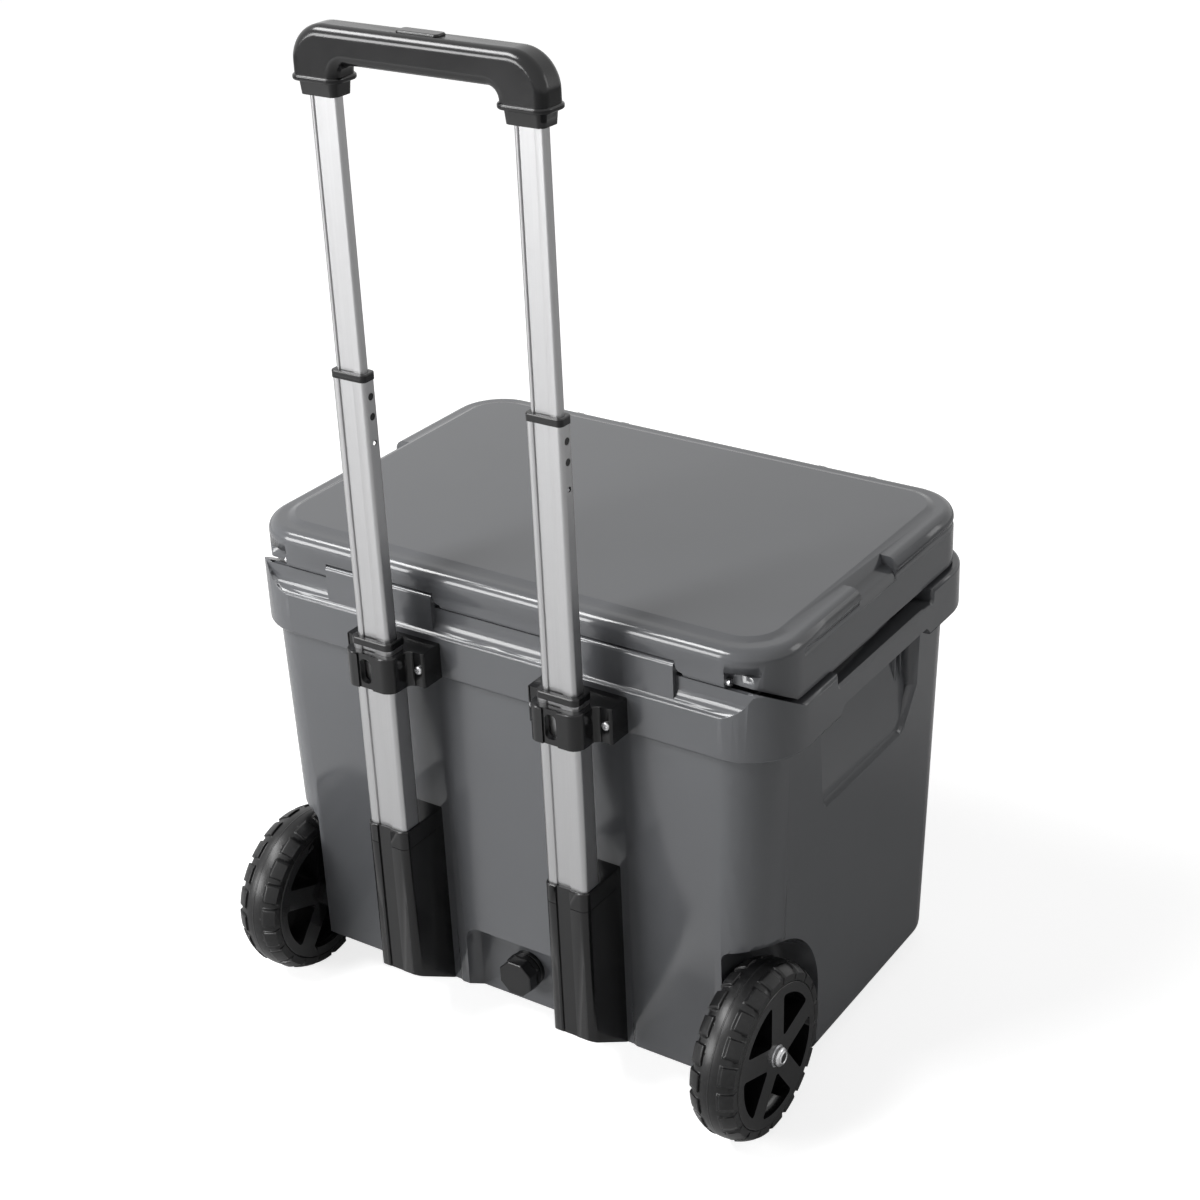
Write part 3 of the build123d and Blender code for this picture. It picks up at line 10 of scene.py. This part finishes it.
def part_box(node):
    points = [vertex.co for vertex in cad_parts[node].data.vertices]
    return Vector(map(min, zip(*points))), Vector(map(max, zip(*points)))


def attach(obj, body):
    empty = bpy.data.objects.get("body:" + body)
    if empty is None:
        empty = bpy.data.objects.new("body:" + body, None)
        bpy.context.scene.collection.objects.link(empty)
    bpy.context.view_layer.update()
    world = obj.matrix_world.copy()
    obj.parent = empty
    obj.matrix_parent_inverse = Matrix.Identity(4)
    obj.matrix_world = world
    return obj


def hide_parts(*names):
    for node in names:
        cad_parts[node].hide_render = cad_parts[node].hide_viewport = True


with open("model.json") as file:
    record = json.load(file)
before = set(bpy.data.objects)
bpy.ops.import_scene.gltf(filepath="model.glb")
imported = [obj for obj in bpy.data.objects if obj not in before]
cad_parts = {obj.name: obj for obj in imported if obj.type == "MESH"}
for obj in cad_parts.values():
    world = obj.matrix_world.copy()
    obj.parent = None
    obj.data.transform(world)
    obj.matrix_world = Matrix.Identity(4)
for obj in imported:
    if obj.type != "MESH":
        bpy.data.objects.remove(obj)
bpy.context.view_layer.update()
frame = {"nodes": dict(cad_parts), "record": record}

bl_info = {
    "name": "Wheeled Hard Cooler",
    "version": (1, 0, 0),
    "blender": (4, 5, 0),
    "location": "View3D > Sidebar > Cooler",
    "description": "Finishes and small fasteners of a wheeled hard cooler, and a studio stage for it",
    "category": "Object",
}

SIDES = ("left", "right")
FINISH_PREFIX = "cooler_"

# Mesh making
FLAT_ANGLE = math.radians(0.4)  # faces that differ by less are merged into one
ROUND_STEPS = 64  # sides of a round piece
WIRE_STEPS = 16  # sides of a ring's wire
FACING = 0.9  # how far a face's normal must point along an axis to count as facing it

# Clamp screws
CROWN_SHARE = 0.55  # share of the head's height that its rounded rim takes
CROWN_STEPS = 5
CROSS_LENGTH = 1.25  # of the cross recess, in head radii
CROSS_WIDTH = 0.26  # the same

# Lamps: name, place, width and height in metres, power in watts
LAMP_TARGET = (0, 0, 0.4)
LAMPS = (
    ("key", (2.2, 3.2, 1.3), (1.8, 1.4), 95),
    ("side", (-3.0, -2.0, 1.7), (1.4, 1.8), 16),
    ("top", (1.6, 1.5, 3.1), (2.2, 0.8), 105),
)
WHITE = (1, 1, 1)

# Numbers of the sockets of a Mix node for colours
MIX_FACTOR, MIX_FIRST, MIX_SECOND, MIX_RESULT = 0, 6, 7, 2


# ---------------------------------------------------------------- sizes and colours a user would change
def colour_setting(name, description, default):
    return bpy.props.FloatVectorProperty(
        name=name, description=description, default=default, subtype="COLOR", size=3, min=0, max=1)


def length_setting(name, description, default, low, high):
    return bpy.props.FloatProperty(
        name=name, description=description, default=default, unit="LENGTH", min=low, max=high)


def turn_setting(name, description, degrees):
    return bpy.props.FloatProperty(
        name=name, description=description, default=math.radians(degrees),
        subtype="ANGLE", unit="ROTATION")


def share_setting(name, description, default):
    return bpy.props.FloatProperty(
        name=name, description=description, default=default, min=0, max=1)


class CoolerFinish(bpy.types.PropertyGroup):
    """Colours and surface values of the cooler's finishes"""

    shell_colour: colour_setting(
        "Shell", "Colour of the moulded tub and lid", (0.106, 0.109, 0.116))
    black_colour: colour_setting(
        "Black plastic", "Colour of the boots, clamps, wheels and grip", (0.008, 0.008, 0.0085))
    rubber_colour: colour_setting(
        "Rubber", "Colour of the tyres, latches, feet and seals", (0.007, 0.007, 0.0073))
    tube_colour: colour_setting(
        "Tubes", "Colour of the satin aluminium tubes", (0.47, 0.47, 0.475))
    steel_colour: colour_setting(
        "Steel", "Colour of the plated screws, pins and caps", (0.62, 0.62, 0.63))
    foam_colour: colour_setting(
        "Foam", "Colour of the foam inside the walls", (0.75, 0.68, 0.46))
    peel_size: length_setting(
        "Peel size", "Width of the fine dimples of the moulded skin", 0.0011, 0.0002, 0.01)
    grain_size: length_setting(
        "Grain size", "Width of the grain of the black plastic", 0.0006, 0.0001, 0.01)


class CoolerSizes(bpy.types.PropertyGroup):
    """Sizes of the fasteners and of the rounding"""

    weld: length_setting(
        "Weld", "Distance under which loose corners are joined", 0.00001, 0.000001, 0.001)
    crease: bpy.props.FloatProperty(
        name="Crease", description="Angle past which an edge stays sharp",
        default=math.radians(32), unit="ROTATION", subtype="ANGLE", min=0, max=math.pi)
    screw_radius: length_setting(
        "Screw head", "Radius of the clamp screws' heads", 0.0042, 0.001, 0.02)
    screw_height: length_setting(
        "Screw height", "Height of the clamp screws' heads", 0.0024, 0.0005, 0.01)
    screw_inset: length_setting(
        "Screw inset", "From a clamp's end in to its screw", 0.0065, 0.001, 0.03)
    ear_depth: length_setting(
        "Ear depth", "From the back of a clamp out to the seat of its screws", 0.025, 0.001, 0.1)
    hub_ring_radius: length_setting(
        "Hub ring", "Radius of the rolled ring on a wheel's push cap", 0.0058, 0.001, 0.03)
    hub_ring_wire: length_setting(
        "Hub ring wire", "Half thickness of that ring", 0.0012, 0.0002, 0.01)


class CoolerStage(bpy.types.PropertyGroup):
    """Camera, floor and sky"""

    camera_place: bpy.props.FloatVectorProperty(
        name="Camera", description="Place of the camera", subtype="TRANSLATION", unit="LENGTH",
        default=(-1.1219, 1.5945, 1.4092), size=3)
    heading: turn_setting("Heading", "Compass turn of the view about Z", 211.327)
    tilt: turn_setting("Tilt", "How far the view looks down", 25.405)
    roll: turn_setting("Roll", "Turn of the camera about its own view", -1.033)
    lens: bpy.props.FloatProperty(
        name="Lens", description="Focal length in millimetres", default=66.52, min=10, max=300)
    shift: bpy.props.FloatVectorProperty(
        name="Shift", description="Sideways and upward shift of the lens",
        default=(-0.1059, -0.0547), size=2)
    floor_size: length_setting("Floor", "Width of the floor", 14.0, 2, 100)
    floor_colour: colour_setting("Floor colour", "Colour of the floor", (0.62, 0.62, 0.62))
    floor_glow: share_setting(
        "Floor glow", "White added to the floor where the camera sees it", 0.78)
    mirror_glow: share_setting(
        "Mirror glow", "White added to the floor where metal and glass show it", 0.05)
    sky_level: share_setting(
        "Sky", "Grey level of the sky as light on the cooler", 0.16)


# ---------------------------------------------------------------- shader building
class Value:
    """A socket's value in an expression; each operator adds its Math node."""

    def __init__(self, paint, socket):
        self.paint = paint
        self.socket = socket

    def __add__(self, other):
        return self.paint.math("ADD", self, other)

    __radd__ = __add__

    def __sub__(self, other):
        return self.paint.math("SUBTRACT", self, other)

    def __rsub__(self, other):
        return self.paint.math("SUBTRACT", other, self)

    def __mul__(self, other):
        return self.paint.math("MULTIPLY", self, other)

    __rmul__ = __mul__

    def __abs__(self):
        return self.paint.math("ABSOLUTE", self)


class Paint:
    """One material, or the sky, and the nodes in it."""

    def __init__(self, name, world=None):
        self.material = world or bpy.data.materials.new(name)
        self.material.use_nodes = True
        self.tree = self.material.node_tree
        self.shader = self.tree.nodes["Background" if world else "Principled BSDF"]

    def node(self, kind, settings=None, **sockets):
        """A node of that type, with its settings and then its sockets filled in."""
        made = self.tree.nodes.new(kind)
        for key, value in (settings or {}).items():
            setattr(made, key, value)
        for key, value in sockets.items():
            self.feed(made.inputs[key.replace("_", " ")], value)
        return made

    def feed(self, socket, value):
        """Link a Value to a socket, or set a plain number, vector or colour."""
        if isinstance(value, Value):
            self.tree.links.new(value.socket, socket)
        else:
            socket.default_value = value

    def math(self, operation, *values):
        made = self.node("ShaderNodeMath", {"operation": operation})
        for socket, value in zip(made.inputs, values):
            self.feed(socket, value)
        return Value(self, made.outputs[0])

    def place(self):
        """Object coordinates."""
        return Value(self, self.node("ShaderNodeTexCoord").outputs["Object"])

    def axis(self, letter):
        """One of the object coordinates: X, Y or Z."""
        split = self.node("ShaderNodeSeparateXYZ", Vector=self.place())
        return Value(self, split.outputs[letter])

    def noise(self, width, detail=2.0, rough=0.5, stretch=(1, 1, 1)):
        """Soft noise whose features are about this wide, 0 to 1."""
        mapped = self.node("ShaderNodeMapping", Vector=self.place(), Scale=stretch)
        made = self.node(
            "ShaderNodeTexNoise", {"noise_dimensions": "3D"},
            Vector=Value(self, mapped.outputs[0]), Scale=1.0 / width,
            Detail=detail, Roughness=rough)
        return Value(self, made.outputs["Fac"])

    def shade(self, share, colour, first=1.0, second=1.0):
        """A mix of two shades of a colour, each given as a factor of it."""
        made = self.node("ShaderNodeMix", {"data_type": "RGBA"})
        self.feed(made.inputs[MIX_FACTOR], share)
        for index, factor in ((MIX_FIRST, first), (MIX_SECOND, second)):
            rgb = (min(1.0, channel * factor) for channel in colour)
            self.feed(made.inputs[index], (*rgb, 1.0))
        return Value(self, made.outputs[MIX_RESULT])

    def range(self, value, low, high, out_low=0.0, out_high=1.0):
        """A soft step from one value to the other as the input crosses the range."""
        made = self.node(
            "ShaderNodeMapRange", {"clamp": True, "interpolation_type": "SMOOTHSTEP"},
            Value=value, From_Min=low, From_Max=high, To_Min=out_low, To_Max=out_high)
        return Value(self, made.outputs[0])

    def bump(self, height, depth, before=None):
        """A normal raised by the height, over an earlier bump where there is one."""
        made = self.node("ShaderNodeBump", Height=height, Distance=depth, Strength=1.0)
        if before is not None:
            self.feed(made.inputs["Normal"], before)
        return Value(self, made.outputs[0])

    def sight(self):
        """1 on rays straight from the camera, and 1 on rays from mirrors and glass."""
        path = self.node("ShaderNodeLightPath")
        straight, mirrored, through = (
            Value(self, path.outputs[f"Is {kind} Ray"])
            for kind in ("Camera", "Glossy", "Transmission"))
        return straight, mirrored + through

    def finish(self, **sockets):
        """Fill in the shader's own sockets and hand over the material."""
        for key, value in sockets.items():
            self.feed(self.shader.inputs[key.replace("_", " ")], value)
        return self.material


# ---------------------------------------------------------------- finishes
# Each takes its empty paint and the user's colours. Widths and depths are in metres.
def shell_plastic(paint, look):
    """Satin moulded skin with faint mottling, fine dimples and slow waves."""
    cloud = paint.noise(width=0.09, detail=3.0)
    speck = paint.noise(width=0.0022)
    cloud_share, speck_share = 0.7, 0.3
    mottle = cloud * cloud_share + speck * speck_share
    tone = paint.shade(mottle, look.shell_colour, first=0.95, second=1.05)
    peel = paint.noise(width=look.peel_size)
    wave = paint.noise(width=0.07, detail=1.0)
    normal = paint.bump(peel, depth=0.00001, before=paint.bump(wave, depth=0.0002))
    smoothest, cloud_spread, speck_spread = 0.13, 0.03, 0.03
    rough = smoothest + cloud_spread * cloud + speck_spread * speck
    return paint.finish(Base_Color=tone, Roughness=rough, Normal=normal)


def black_plastic(paint, look):
    """Black moulded plastic with a fine even grain."""
    cloud = paint.noise(width=0.05)
    grain = paint.noise(width=look.grain_size, detail=1.0)
    tone = paint.shade(cloud, look.black_colour, first=0.85, second=1.2)
    smoothest, spread = 0.14, 0.08
    return paint.finish(
        Base_Color=tone, Roughness=smoothest + spread * cloud, Specular_IOR_Level=0.42,
        Normal=paint.bump(grain, depth=0.00003))


def tyre_rubber(paint, look):
    """Black rubber with a faint mould line round the middle of the tread."""
    low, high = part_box("left_tyre")
    middle = (low.x + high.x) / 2
    off_line = abs(abs(paint.axis("X")) - middle)
    line = paint.range(off_line, low=0.0003, high=0.0009, out_low=1.0, out_high=0.0)
    scuff = paint.noise(width=0.006, detail=4.0, rough=0.65)
    cloud = paint.noise(width=0.04)
    worn = paint.range(scuff, low=0.45, high=0.8)
    tone = paint.shade(worn, look.rubber_colour, second=2.2)
    grain = paint.bump(paint.noise(width=0.0009), depth=0.00004)
    smoothest, spread = 0.26, 0.12
    return paint.finish(
        Base_Color=tone, Roughness=smoothest + spread * cloud, Specular_IOR_Level=0.35,
        Normal=paint.bump(line, depth=0.00025, before=grain))


def tube_aluminium(paint, look):
    """Satin anodised aluminium with faint drawing lines along the tubes."""
    lines = paint.noise(width=0.0009, detail=3.0, rough=0.6, stretch=(1, 1, 0.004))
    cloud = paint.noise(width=0.05)
    tone = paint.shade(lines, look.tube_colour, first=0.93, second=1.05)
    smoothest, line_spread, cloud_spread = 0.27, 0.08, 0.04
    return paint.finish(
        Base_Color=tone, Metallic=1.0,
        Roughness=smoothest + line_spread * lines + cloud_spread * cloud,
        Normal=paint.bump(lines, depth=0.000012))


def bright_steel(paint, look):
    """Plated steel with turning marks and faint stains."""
    marks = paint.noise(width=0.0012, detail=4.0, rough=0.7)
    stain = paint.noise(width=0.006)
    stained = paint.range(stain, low=0.4, high=0.75)
    tone = paint.shade(stained, look.steel_colour, second=0.78)
    smoothest, spread = 0.2, 0.16
    return paint.finish(
        Base_Color=tone, Metallic=1.0, Roughness=smoothest + spread * stain,
        Normal=paint.bump(marks, depth=0.00001))


def latch_rubber(paint, look):
    """Soft black rubber of the latches."""
    cloud = paint.noise(width=0.02, detail=3.0)
    tone = paint.shade(cloud, look.rubber_colour, second=1.8)
    smoothest, spread = 0.5, 0.15
    return paint.finish(
        Base_Color=tone, Roughness=smoothest + spread * cloud,
        Normal=paint.bump(paint.noise(width=0.0007), depth=0.00003))


def gasket_rubber(paint, look):
    """Matt black rubber of the feet and seals."""
    cloud = paint.noise(width=0.012, detail=3.0)
    tone = paint.shade(cloud, look.rubber_colour, first=1.1, second=1.9)
    smoothest, spread = 0.62, 0.12
    return paint.finish(
        Base_Color=tone, Roughness=smoothest + spread * cloud,
        Normal=paint.bump(cloud, depth=0.0001))


def foam(paint, look):
    """Rigid foam with open cells."""
    cells = paint.noise(width=0.0018, detail=3.0)
    tone = paint.shade(cells, look.foam_colour, first=0.85)
    return paint.finish(
        Base_Color=tone, Roughness=0.9, Normal=paint.bump(cells, depth=0.0003))


FINISHES = {
    "shell_plastic": shell_plastic,
    "black_plastic": black_plastic,
    "tyre_rubber": tyre_rubber,
    "tube_aluminium": tube_aluminium,
    "bright_steel": bright_steel,
    "latch_rubber": latch_rubber,
    "gasket_rubber": gasket_rubber,
    "foam": foam,
}
SLOT_OF = {entry["node"]: entry["material_slot"] for entry in frame["record"]["subparts"]}
BODY_OF = {
    node: body
    for body, nodes in frame["record"]["behaviour"]["bodies"].items()
    for node in nodes
}


def finish_named(slot):
    """The slot's finish, made on first use; the frame's own materials keep the plain names."""
    name = FINISH_PREFIX + slot
    made = bpy.data.materials.get(name)
    return made or FINISHES[slot](Paint(name), bpy.context.scene.cooler_finish)


# ---------------------------------------------------------------- mesh helpers
def deselect():
    """Be in object mode with nothing selected."""
    if bpy.context.object and bpy.context.object.mode != "OBJECT":
        bpy.ops.object.mode_set(mode="OBJECT")
    bpy.ops.object.select_all(action="DESELECT")


def only(obj):
    """Select one object and nothing else."""
    deselect()
    obj.select_set(True)
    bpy.context.view_layer.objects.active = obj


def wear(obj, material):
    """Make this the object's only material."""
    obj.data.materials.clear()
    obj.data.materials.append(material)


def keep(obj, name, body, slot, *nodes):
    """Name a finished piece, give it the finish of its slot, attach it to its body, and hide the nodes it
    stands for.
    """
    obj.name = name
    obj.data.name = name
    wear(obj, finish_named(slot))
    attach(obj, body)
    if nodes:
        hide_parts(*nodes)


def smooth_shade(obj):
    """Shade smooth up to the crease angle."""
    only(obj)
    bpy.ops.object.shade_smooth_by_angle(angle=bpy.context.scene.cooler_sizes.crease)


def smoothed(*nodes):
    """Make a welded, smooth-shaded copy of each CAD node, which stands for it."""
    for node in nodes:
        name = node + "_skin"
        obj = bpy.data.objects.new(name, frame["nodes"][node].data.copy())
        bpy.context.scene.collection.objects.link(obj)
        only(obj)
        bpy.ops.object.mode_set(mode="EDIT")
        bpy.ops.mesh.select_all(action="SELECT")
        bpy.ops.mesh.remove_doubles(threshold=bpy.context.scene.cooler_sizes.weld)
        bpy.ops.mesh.dissolve_limited(angle_limit=FLAT_ANGLE)
        smooth_shade(obj)
        normals = obj.modifiers.new("even_normals", "WEIGHTED_NORMAL")
        normals.keep_sharp = True
        normals.mode = "FACE_AREA_WITH_ANGLE"
        bpy.ops.object.modifier_apply(modifier=normals.name)
        keep(obj, name, BODY_OF[node], SLOT_OF[node], node)


def finish_nodes(*nodes):
    """Give hidden or plain CAD nodes their finish."""
    for node in nodes:
        wear(frame["nodes"][node], finish_named(SLOT_OF[node]))


def both(*names):
    """The left and the right node of each name."""
    return [f"{side}_{name}" for name in names for side in SIDES]


def select_faces(obj, test):
    """Put an object in edit mode with just the faces that pass the test selected."""
    only(obj)
    bpy.ops.object.mode_set(mode="EDIT")
    bpy.ops.mesh.select_mode(type="FACE")
    bpy.ops.mesh.select_all(action="DESELECT")
    bpy.ops.object.mode_set(mode="OBJECT")
    for face in obj.data.polygons:
        face.select = test(face)
    bpy.ops.object.mode_set(mode="EDIT")


def cut_away(obj, cutter):
    """Take the cutter out of the object and throw the cutter away."""
    only(obj)
    cut = obj.modifiers.new("cut", "BOOLEAN")
    cut.operation = "DIFFERENCE"
    cut.object = cutter
    bpy.ops.object.modifier_apply(modifier=cut.name)
    bpy.data.objects.remove(cutter)


def clamp_screw(name, place, body):
    """A screw head with a rounded rim and a cross recess, facing back."""
    sizes = bpy.context.scene.cooler_sizes
    radius, height = sizes.screw_radius, sizes.screw_height
    deselect()
    bpy.ops.mesh.primitive_cylinder_add(
        vertices=ROUND_STEPS, radius=radius, depth=height,
        location=place + Vector((0, height / 2, 0)), rotation=(-math.pi / 2, 0, 0))
    head = bpy.context.object
    bpy.ops.object.transform_apply()
    select_faces(head, lambda face: face.normal.y > FACING)
    bpy.ops.mesh.bevel(offset=height * CROWN_SHARE, segments=CROWN_STEPS, affect="EDGES")
    bpy.ops.object.mode_set(mode="OBJECT")
    for width, tall in ((CROSS_LENGTH, CROSS_WIDTH), (CROSS_WIDTH, CROSS_LENGTH)):
        deselect()
        bpy.ops.mesh.primitive_cube_add(size=1, location=place + Vector((0, height, 0)))
        cutter = bpy.context.object
        cutter.scale = (width * radius, height, tall * radius)
        bpy.ops.object.transform_apply()
        cut_away(head, cutter)
    smooth_shade(head)
    keep(head, name, body, "bright_steel")


def hub_ring(side):
    """A rolled ring round a black disc on the wheel's push cap; the disc is painted shade that stands for
    the hollow in the cap's middle.
    """
    sizes = bpy.context.scene.cooler_sizes
    radius, wire = sizes.hub_ring_radius, sizes.hub_ring_wire
    cap = side + "_push_cap"
    low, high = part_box(cap)
    middle = (low + high) / 2
    middle.x = high.x if middle.x > 0 else low.x
    across = {"location": middle, "rotation": (0, math.pi / 2, 0)}
    deselect()
    bpy.ops.mesh.primitive_torus_add(
        major_radius=radius, minor_radius=wire,
        major_segments=ROUND_STEPS, minor_segments=WIRE_STEPS, **across)
    ring = bpy.context.object
    # Painted shade: a thin black disc on the cap's face stands in for the shaded hollow in its middle.
    deselect()
    bpy.ops.mesh.primitive_cylinder_add(vertices=ROUND_STEPS, radius=radius, depth=wire, **across)
    shade_disc = bpy.context.object
    for obj, name, slot in ((ring, "hub_ring", "bright_steel"), (shade_disc, "hub_cup", "black_plastic")):
        only(obj)
        bpy.ops.object.transform_apply()
        smooth_shade(obj)
        keep(obj, f"{side}_{name}", BODY_OF[cap], slot)


# ---------------------------------------------------------------- pieces
class PieceOperator(bpy.types.Operator):
    """Base of the operators that make pieces"""

    bl_options = {"REGISTER", "UNDO"}

    def execute(self, context):
        self.make(context)
        return {"FINISHED"}


class COOLER_OT_tub(PieceOperator):
    """Make the moulded tub"""

    bl_idname = "cooler.tub"
    bl_label = "Tub"

    def make(self, context):
        smoothed("tub")


class COOLER_OT_lid(PieceOperator):
    """Make the moulded lid and its gasket"""

    bl_idname = "cooler.lid"
    bl_label = "Lid"

    def make(self, context):
        smoothed("lid", "lid_gasket")


class COOLER_OT_foam(PieceOperator):
    """Finish the foam cores inside the tub and lid"""

    bl_idname = "cooler.foam"
    bl_label = "Foam cores"

    def make(self, context):
        finish_nodes("tub_foam", "lid_foam")


class COOLER_OT_wheels(PieceOperator):
    """Make the wheels with their tyres, axles, washers, spacers and caps"""

    bl_idname = "cooler.wheels"
    bl_label = "Wheels"

    def make(self, context):
        smoothed(*both("wheel_rim", "tyre", "axle", "washer", "push_cap", "wheel_spacer"))
        for side in SIDES:
            hub_ring(side)


class COOLER_OT_tubes(PieceOperator):
    """Make the telescopic tubes"""

    bl_idname = "cooler.tubes"
    bl_label = "Handle tubes"

    def make(self, context):
        smoothed(*both("base_tube", "middle_tube", "inner_tube"))


class COOLER_OT_guides(PieceOperator):
    """Make the guides, glides, boots and clamps of the handle, and the clamps' screws"""

    bl_idname = "cooler.guides"
    bl_label = "Guides, boots and clamps"

    def make(self, context):
        smoothed(*both(
            "base_guide", "top_guide", "middle_glide", "inner_glide", "socket", "bracket"))
        for bracket in both("bracket"):
            self.add_screws(bracket, context.scene.cooler_sizes)

    def add_screws(self, bracket, sizes):
        low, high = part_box(bracket)
        seat_y = low.y + sizes.ear_depth
        middle_z = (low.z + high.z) / 2
        for end, x in (("near", low.x + sizes.screw_inset), ("far", high.x - sizes.screw_inset)):
            seat = Vector((x, seat_y, middle_z))
            clamp_screw(f"{bracket}_{end}_screw", seat, BODY_OF[bracket])


class COOLER_OT_grip(PieceOperator):
    """Make the grip and its button, and finish what the button works"""

    bl_idname = "cooler.grip"
    bl_label = "Grip"

    def make(self, context):
        smoothed("grip", "button")
        finish_nodes("release_rod", "button_spring", *both("lock_housing", "lock_pin"))


class COOLER_OT_latches(PieceOperator):
    """Make the front latches and their pins"""

    bl_idname = "cooler.latches"
    bl_label = "Latches"

    def make(self, context):
        smoothed(*both("latch", "latch_pin"))


class COOLER_OT_drain(PieceOperator):
    """Make the drain fitting, seal and plug"""

    bl_idname = "cooler.drain"
    bl_label = "Drain"

    def make(self, context):
        smoothed("drain_fitting", "drain_seal", "drain_plug")


class COOLER_OT_hardware(PieceOperator):
    """Make the hinge pins and front feet"""

    bl_idname = "cooler.hardware"
    bl_label = "Hinge pins and feet"

    def make(self, context):
        smoothed(*both("hinge_pin", "foot"))


# ---------------------------------------------------------------- stage
def softbox(name, place, size, power):
    """A large rectangular lamp turned to the cooler."""
    lamp = bpy.data.lights.new(name, "AREA")
    lamp.shape = "RECTANGLE"
    lamp.size, lamp.size_y = size
    lamp.energy = power
    obj = bpy.data.objects.new(name, lamp)
    bpy.context.scene.collection.objects.link(obj)
    obj.location = place
    to_target = Vector(LAMP_TARGET) - obj.location
    obj.rotation_euler = to_target.to_track_quat("-Z", "Y").to_euler()


def floor_paint(stage):
    """Plain pale floor, lifted to white where it is seen, that keeps the shadow."""
    paint = Paint("studio_floor")
    cloud = paint.noise(width=0.6)
    tone = paint.shade(cloud, stage.floor_colour, first=0.99)
    straight, mirrored = paint.sight()
    lift = straight * stage.floor_glow + mirrored * stage.mirror_glow
    glow = paint.shade(lift, WHITE, first=0.0)
    return paint.finish(
        Base_Color=tone, Roughness=0.7, Emission_Color=glow, Emission_Strength=1.0)


def studio_world(stage):
    """Even sky: white where it is seen, softer as light on the cooler."""
    world = bpy.data.worlds.new("studio")
    bpy.context.scene.world = world
    paint = Paint("studio", world)
    straight, mirrored = paint.sight()
    tone = paint.shade(straight + mirrored, WHITE, first=stage.sky_level)
    paint.finish(Color=tone, Strength=1.0)


def aim_camera(stage):
    """The camera, turned about Z, then down, then about its own view."""
    camera = bpy.data.objects.new("camera", bpy.data.cameras.new("camera"))
    bpy.context.scene.collection.objects.link(camera)
    camera.data.lens = stage.lens
    camera.data.shift_x, camera.data.shift_y = stage.shift
    camera.location = stage.camera_place
    turned = (
        Matrix.Rotation(stage.heading, 3, "Z")
        @ Matrix.Rotation(math.pi / 2 - stage.tilt, 3, "X")
        @ Matrix.Rotation(stage.roll, 3, "Z"))
    camera.rotation_euler = turned.to_euler()
    bpy.context.scene.camera = camera


class COOLER_OT_stage(bpy.types.Operator):
    """Set up the floor, lamps, sky and camera"""

    bl_idname = "cooler.stage"
    bl_label = "Stage"

    def execute(self, context):
        stage = context.scene.cooler_stage
        deselect()
        bpy.ops.mesh.primitive_plane_add(size=stage.floor_size, location=(0, 0, 0))
        floor = context.object
        floor.name = "floor"
        wear(floor, floor_paint(stage))
        for lamp in LAMPS:
            softbox(*lamp)
        studio_world(stage)
        aim_camera(stage)
        context.scene.view_settings.view_transform = "Standard"
        return {"FINISHED"}


# ---------------------------------------------------------------- add-on
class COOLER_PT_panel(bpy.types.Panel):
    """Buttons for every piece"""

    bl_idname = "COOLER_PT_panel"
    bl_label = "Wheeled Hard Cooler"
    bl_space_type = "VIEW_3D"
    bl_region_type = "UI"
    bl_category = "Cooler"

    def draw(self, context):
        for operator in OPERATORS:
            self.layout.operator(operator.bl_idname)


SETTINGS = (
    ("cooler_finish", CoolerFinish),
    ("cooler_sizes", CoolerSizes),
    ("cooler_stage", CoolerStage),
)
OPERATORS = (
    COOLER_OT_tub,
    COOLER_OT_lid,
    COOLER_OT_foam,
    COOLER_OT_wheels,
    COOLER_OT_tubes,
    COOLER_OT_guides,
    COOLER_OT_grip,
    COOLER_OT_latches,
    COOLER_OT_drain,
    COOLER_OT_hardware,
    COOLER_OT_stage,
)


def register():
    for name, group in SETTINGS:
        bpy.utils.register_class(group)
        setattr(bpy.types.Scene, name, bpy.props.PointerProperty(type=group))
    for operator in OPERATORS:
        bpy.utils.register_class(operator)
    bpy.utils.register_class(COOLER_PT_panel)


def unregister():
    bpy.utils.unregister_class(COOLER_PT_panel)
    for operator in reversed(OPERATORS):
        bpy.utils.unregister_class(operator)
    for name, group in reversed(SETTINGS):
        delattr(bpy.types.Scene, name)
        bpy.utils.unregister_class(group)


def main():
    register()
    for operator in OPERATORS:
        group, name = operator.bl_idname.split(".")
        getattr(getattr(bpy.ops, group), name)()


if __name__ == "__main__":
    main()
